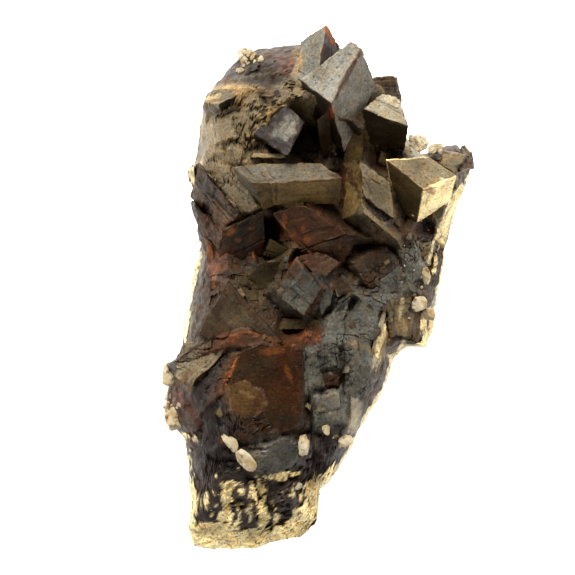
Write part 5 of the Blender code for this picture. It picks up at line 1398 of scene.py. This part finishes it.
def sideriteMaterial(earthy, rusty):
    finish = sideriteFinish
    material = bpy.data.materials.new('sideriteFace')
    material.use_nodes = True
    tree = material.node_tree
    shader = tree.nodes['Principled BSDF']
    place = addNode(tree, 'ShaderNodeTexCoord').outputs['Object']
    tone = addNode(tree, 'ShaderNodeAttribute', attribute_name='tone').outputs['Color']
    rust = addNode(tree, 'ShaderNodeAttribute', attribute_name='rust').outputs['Fac']
    wearAndHighlight = addNode(tree, 'ShaderNodeAttribute', attribute_name='wearAndHighlight').outputs['Fac']
    sunk = addNode(tree, 'ShaderNodeAttribute', attribute_name='sunk').outputs['Fac']
    gloss = addNode(tree, 'ShaderNodeAttribute', attribute_name='gloss').outputs['Fac']
    along = addNode(tree, 'ShaderNodeAttribute', attribute_name='along').outputs['Vector']
    grain = addNode(tree, 'ShaderNodeGroup', node_tree=earthy)
    feed(tree, grain, 'Vector', place)
    grain.inputs['Size'].default_value = finish['grainSize']
    stain = addNode(tree, 'ShaderNodeGroup', node_tree=rusty)
    feed(tree, stain, 'Vector', place)
    feed(tree, stain, 'Amount', rust)
    # growth lines: noise stretched along the crystal's own edges
    stretch = addNode(tree, 'ShaderNodeMapping')
    stretch.inputs['Scale'].default_value = finish['stretch']
    tree.links.new(along, stretch.inputs['Vector'])
    lines = noiseNode(tree, stretch.outputs[0], 1.0, 3.0, 0.6)
    broad = noiseNode(tree, place, finish['broadScale'], 5.0, 0.62)
    fine = noiseNode(tree, place, finish['fineScale'], 3.0, 0.65)
    shade = mathNode(tree, 'MULTIPLY', rangeNode(tree, broad, 0.3, 0.7, *finish['broadShade']),
                     rangeNode(tree, lines, 0.32, 0.68, *finish['lineShade']))
    shade = mathNode(tree, 'MULTIPLY', shade,
                     rangeNode(tree, fine, 0.32, 0.68, *finish['fineShade']))
    scale = addNode(tree, 'ShaderNodeVectorMath', operation='SCALE')
    tree.links.new(tone, scale.inputs[0])
    tree.links.new(shade, scale.inputs['Scale'])
    colour = scale.outputs[0]
    # warm earthy blotches, which keep the tone's own lightness
    warm = mixColour(tree, 1.0, colour, finish['warm'], 'MULTIPLY')
    blotches = mathNode(tree, 'MULTIPLY', grain.outputs['Blotches'], finish['warmShare'])
    colour = mixColour(tree, blotches, colour, warm)
    # edges and bumps are lightened, partly as wear and partly as a painted highlight
    light = mixColour(tree, 1.0, colour, finish['light'], 'MULTIPLY')
    colour = mixColour(tree, mathNode(tree, 'MULTIPLY', wearAndHighlight, finish['wearAndHighlightShare']), colour, light)
    layers = ((stain.outputs['Deep'], 'deepShare', 'rustDeep'),
              (stain.outputs['Bright'], 'brightShare', 'rustBright'),
              (grain.outputs['Specks'], 'speckShare', 'dark'))
    for mask, share, over in layers:
        amount = mathNode(tree, 'MULTIPLY', mask, finish[share])
        colour = mixColour(tree, amount, colour, finish[over])
    # painted shade: recesses, hollows and cracks are darkened
    shadow = rangeNode(tree, sunk, 0.45, 0.9, 0.0, finish['sunkShare'])
    colour = mixColour(tree, shadow, colour, finish['dark'])
    tree.links.new(colour, shader.inputs['Base Color'])
    rough = rangeNode(tree, grain.outputs['Blotches'], 0.0, 1.0, *finish['roughness'])
    rough = mathNode(tree, 'SUBTRACT', rough, mathNode(tree, 'MULTIPLY', gloss, finish['polish']))
    tree.links.new(rough, shader.inputs['Roughness'])
    shader.inputs['Specular IOR Level'].default_value = finish['specular']
    height = mathNode(tree, 'ADD', grain.outputs['Height'],
                      mathNode(tree, 'MULTIPLY', lines, finish['striae']))
    bump = addNode(tree, 'ShaderNodeBump')
    bump.inputs['Strength'].default_value = finish['bump']
    bump.inputs['Distance'].default_value = finish['bumpDistance']
    tree.links.new(height, bump.inputs['Height'])
    tree.links.new(bump.outputs[0], shader.inputs['Normal'])
    return material


# the pale rock, which glows a little in its own colour as painted light that stands for light
# reaching it from behind and below, and, with its own colours and no glow, the quartz
rockFinish = dict(cream=(0.92, 0.84, 0.62, 1), sand=(0.80, 0.62, 0.26, 1),
                  brown=(0.13, 0.09, 0.06, 1), brownShare=0.06, brownScale=330.0, speckShare=0.6,
                  grainSize=0.0006, bump=0.5, bumpDistance=0.0003, roughness=0.85, bounceGlow=0.13)
quartzFinish = dict(rockFinish, cream=(0.62, 0.53, 0.35, 1), sand=(0.48, 0.33, 0.15, 1),
                    brown=(0.20, 0.10, 0.035, 1), bounceGlow=0.0)


def rockMaterial(name, earthy, finish):
    material = bpy.data.materials.new(name)
    material.use_nodes = True
    tree = material.node_tree
    shader = tree.nodes['Principled BSDF']
    place = addNode(tree, 'ShaderNodeTexCoord').outputs['Object']
    grain = addNode(tree, 'ShaderNodeGroup', node_tree=earthy)
    feed(tree, grain, 'Vector', place)
    grain.inputs['Size'].default_value = finish['grainSize']
    colour = mixColour(tree, grain.outputs['Blotches'], finish['cream'], finish['sand'])
    broad = noiseNode(tree, place, finish['brownScale'], 5.0, 0.6)
    share = finish['brownShare']
    patches = rangeNode(tree, broad, 0.64 - share, 0.70 - share, 0, 0.8)
    colour = mixColour(tree, patches, colour, finish['brown'])
    specks = mathNode(tree, 'MULTIPLY', grain.outputs['Specks'], finish['speckShare'])
    colour = mixColour(tree, specks, colour, finish['brown'])
    tree.links.new(colour, shader.inputs['Base Color'])
    # painted light: the rock glows in its own colour
    tree.links.new(colour, shader.inputs['Emission Color'])
    shader.inputs['Emission Strength'].default_value = finish['bounceGlow']
    rough = finish['roughness']
    tree.links.new(rangeNode(tree, broad, 0.3, 0.7, rough - 0.15, rough + 0.1),
                   shader.inputs['Roughness'])
    bump = addNode(tree, 'ShaderNodeBump')
    bump.inputs['Strength'].default_value = finish['bump']
    bump.inputs['Distance'].default_value = finish['bumpDistance']
    tree.links.new(grain.outputs['Height'], bump.inputs['Height'])
    tree.links.new(bump.outputs[0], shader.inputs['Normal'])
    return material


# a wide white floor, and soft lights: a strong one beyond the crown, weaker ones round the sides
studio = dict(floor=0.95, floorSize=3.0, floorDrop=0.0001, floorRoughness=0.9, floorGlow=0.85,
              world=0.12,
              lights=(('keyBeyondCrown', (-0.14, 0.74, 0.66), 0.42, 13.5),
                      ('fillLeft', (-0.85, 0.10, 0.45), 0.5, 3.0),
                      ('fillRight', (0.85, 0.15, 0.40), 0.5, 3.5),
                      ('fillFoot', (0.05, -0.85, 0.55), 0.5, 1.2)))


def buildStudio():
    size, low = studio['floorSize'], -studio['floorDrop']
    corners = np.array([(-size, -size, low), (size, -size, low),
                        (size, size, low), (-size, size, low)]) / mm
    floor = objectFrom('floor', meshFrom('floor', corners, np.array([[0, 1, 2, 3]])))
    material = bpy.data.materials.new('paleFloor')
    material.use_nodes = True
    shader = material.node_tree.nodes['Principled BSDF']
    level = studio['floor']
    shader.inputs['Base Color'].default_value = (level, level, level, 1)
    shader.inputs['Roughness'].default_value = studio['floorRoughness']
    shader.inputs['Emission Color'].default_value = (1, 1, 1, 1)
    shader.inputs['Emission Strength'].default_value = studio['floorGlow']
    floor.data.materials.append(material)
    world = bpy.data.worlds.new('studio')
    world.use_nodes = True
    world.node_tree.nodes['Background'].inputs['Color'].default_value = (1, 1, 1, 1)
    world.node_tree.nodes['Background'].inputs['Strength'].default_value = studio['world']
    bpy.context.scene.world = world
    for name, spot, width, power in studio['lights']:
        data = bpy.data.lights.new(name, 'AREA')
        data.shape, data.size, data.energy = 'SQUARE', width, power
        light = bpy.data.objects.new(name, data)
        bpy.context.scene.collection.objects.link(light)
        light.location = spot
        direction = -np.array(spot)
        turn = math.atan2(direction[1], direction[0]) - math.pi / 2
        tip = math.atan2(math.hypot(direction[0], direction[1]), -direction[2])
        light.rotation_euler = (tip, 0, turn)
    bpy.context.scene.view_settings.view_transform = 'Standard'
    bpy.context.scene.view_settings.look = 'None'


buildCamera()
cutters = bpy.data.collections.new('cutters')
bpy.context.scene.collection.children.link(cutters)
rockCutter = buildCutter()
earthy, rusty = grainGroup(), rustGroup()
siderite = sideriteMaterial(earthy, rusty)
paleRock = rockMaterial('paleRock', earthy, rockFinish)
paleQuartz = rockMaterial('paleQuartz', earthy, quartzFinish)
print('materials ready')

for piece in [buildCrust(), buildChips()] + buildCrystals():
    piece.data.materials.clear()
    piece.data.materials.append(siderite)
    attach(piece, 'root')
    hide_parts('siderite_crystals')

rock = buildRock()
rock.data.materials.append(paleRock)
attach(rock, 'root')
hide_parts('matrix')

bpy.data.objects.remove(rockCutter, do_unlink=True)
bpy.data.collections.remove(cutters)

grains = buildGrains()
grains.data.materials.append(paleQuartz)
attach(grains, 'root')
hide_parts(*sorted(name for name in frame['nodes'] if name.startswith('quartz_grain')))

crumbPiece = buildCrumbs()
crumbPiece.data.materials.append(paleQuartz)
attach(crumbPiece, 'root')

buildStudio()
print('studio ready')
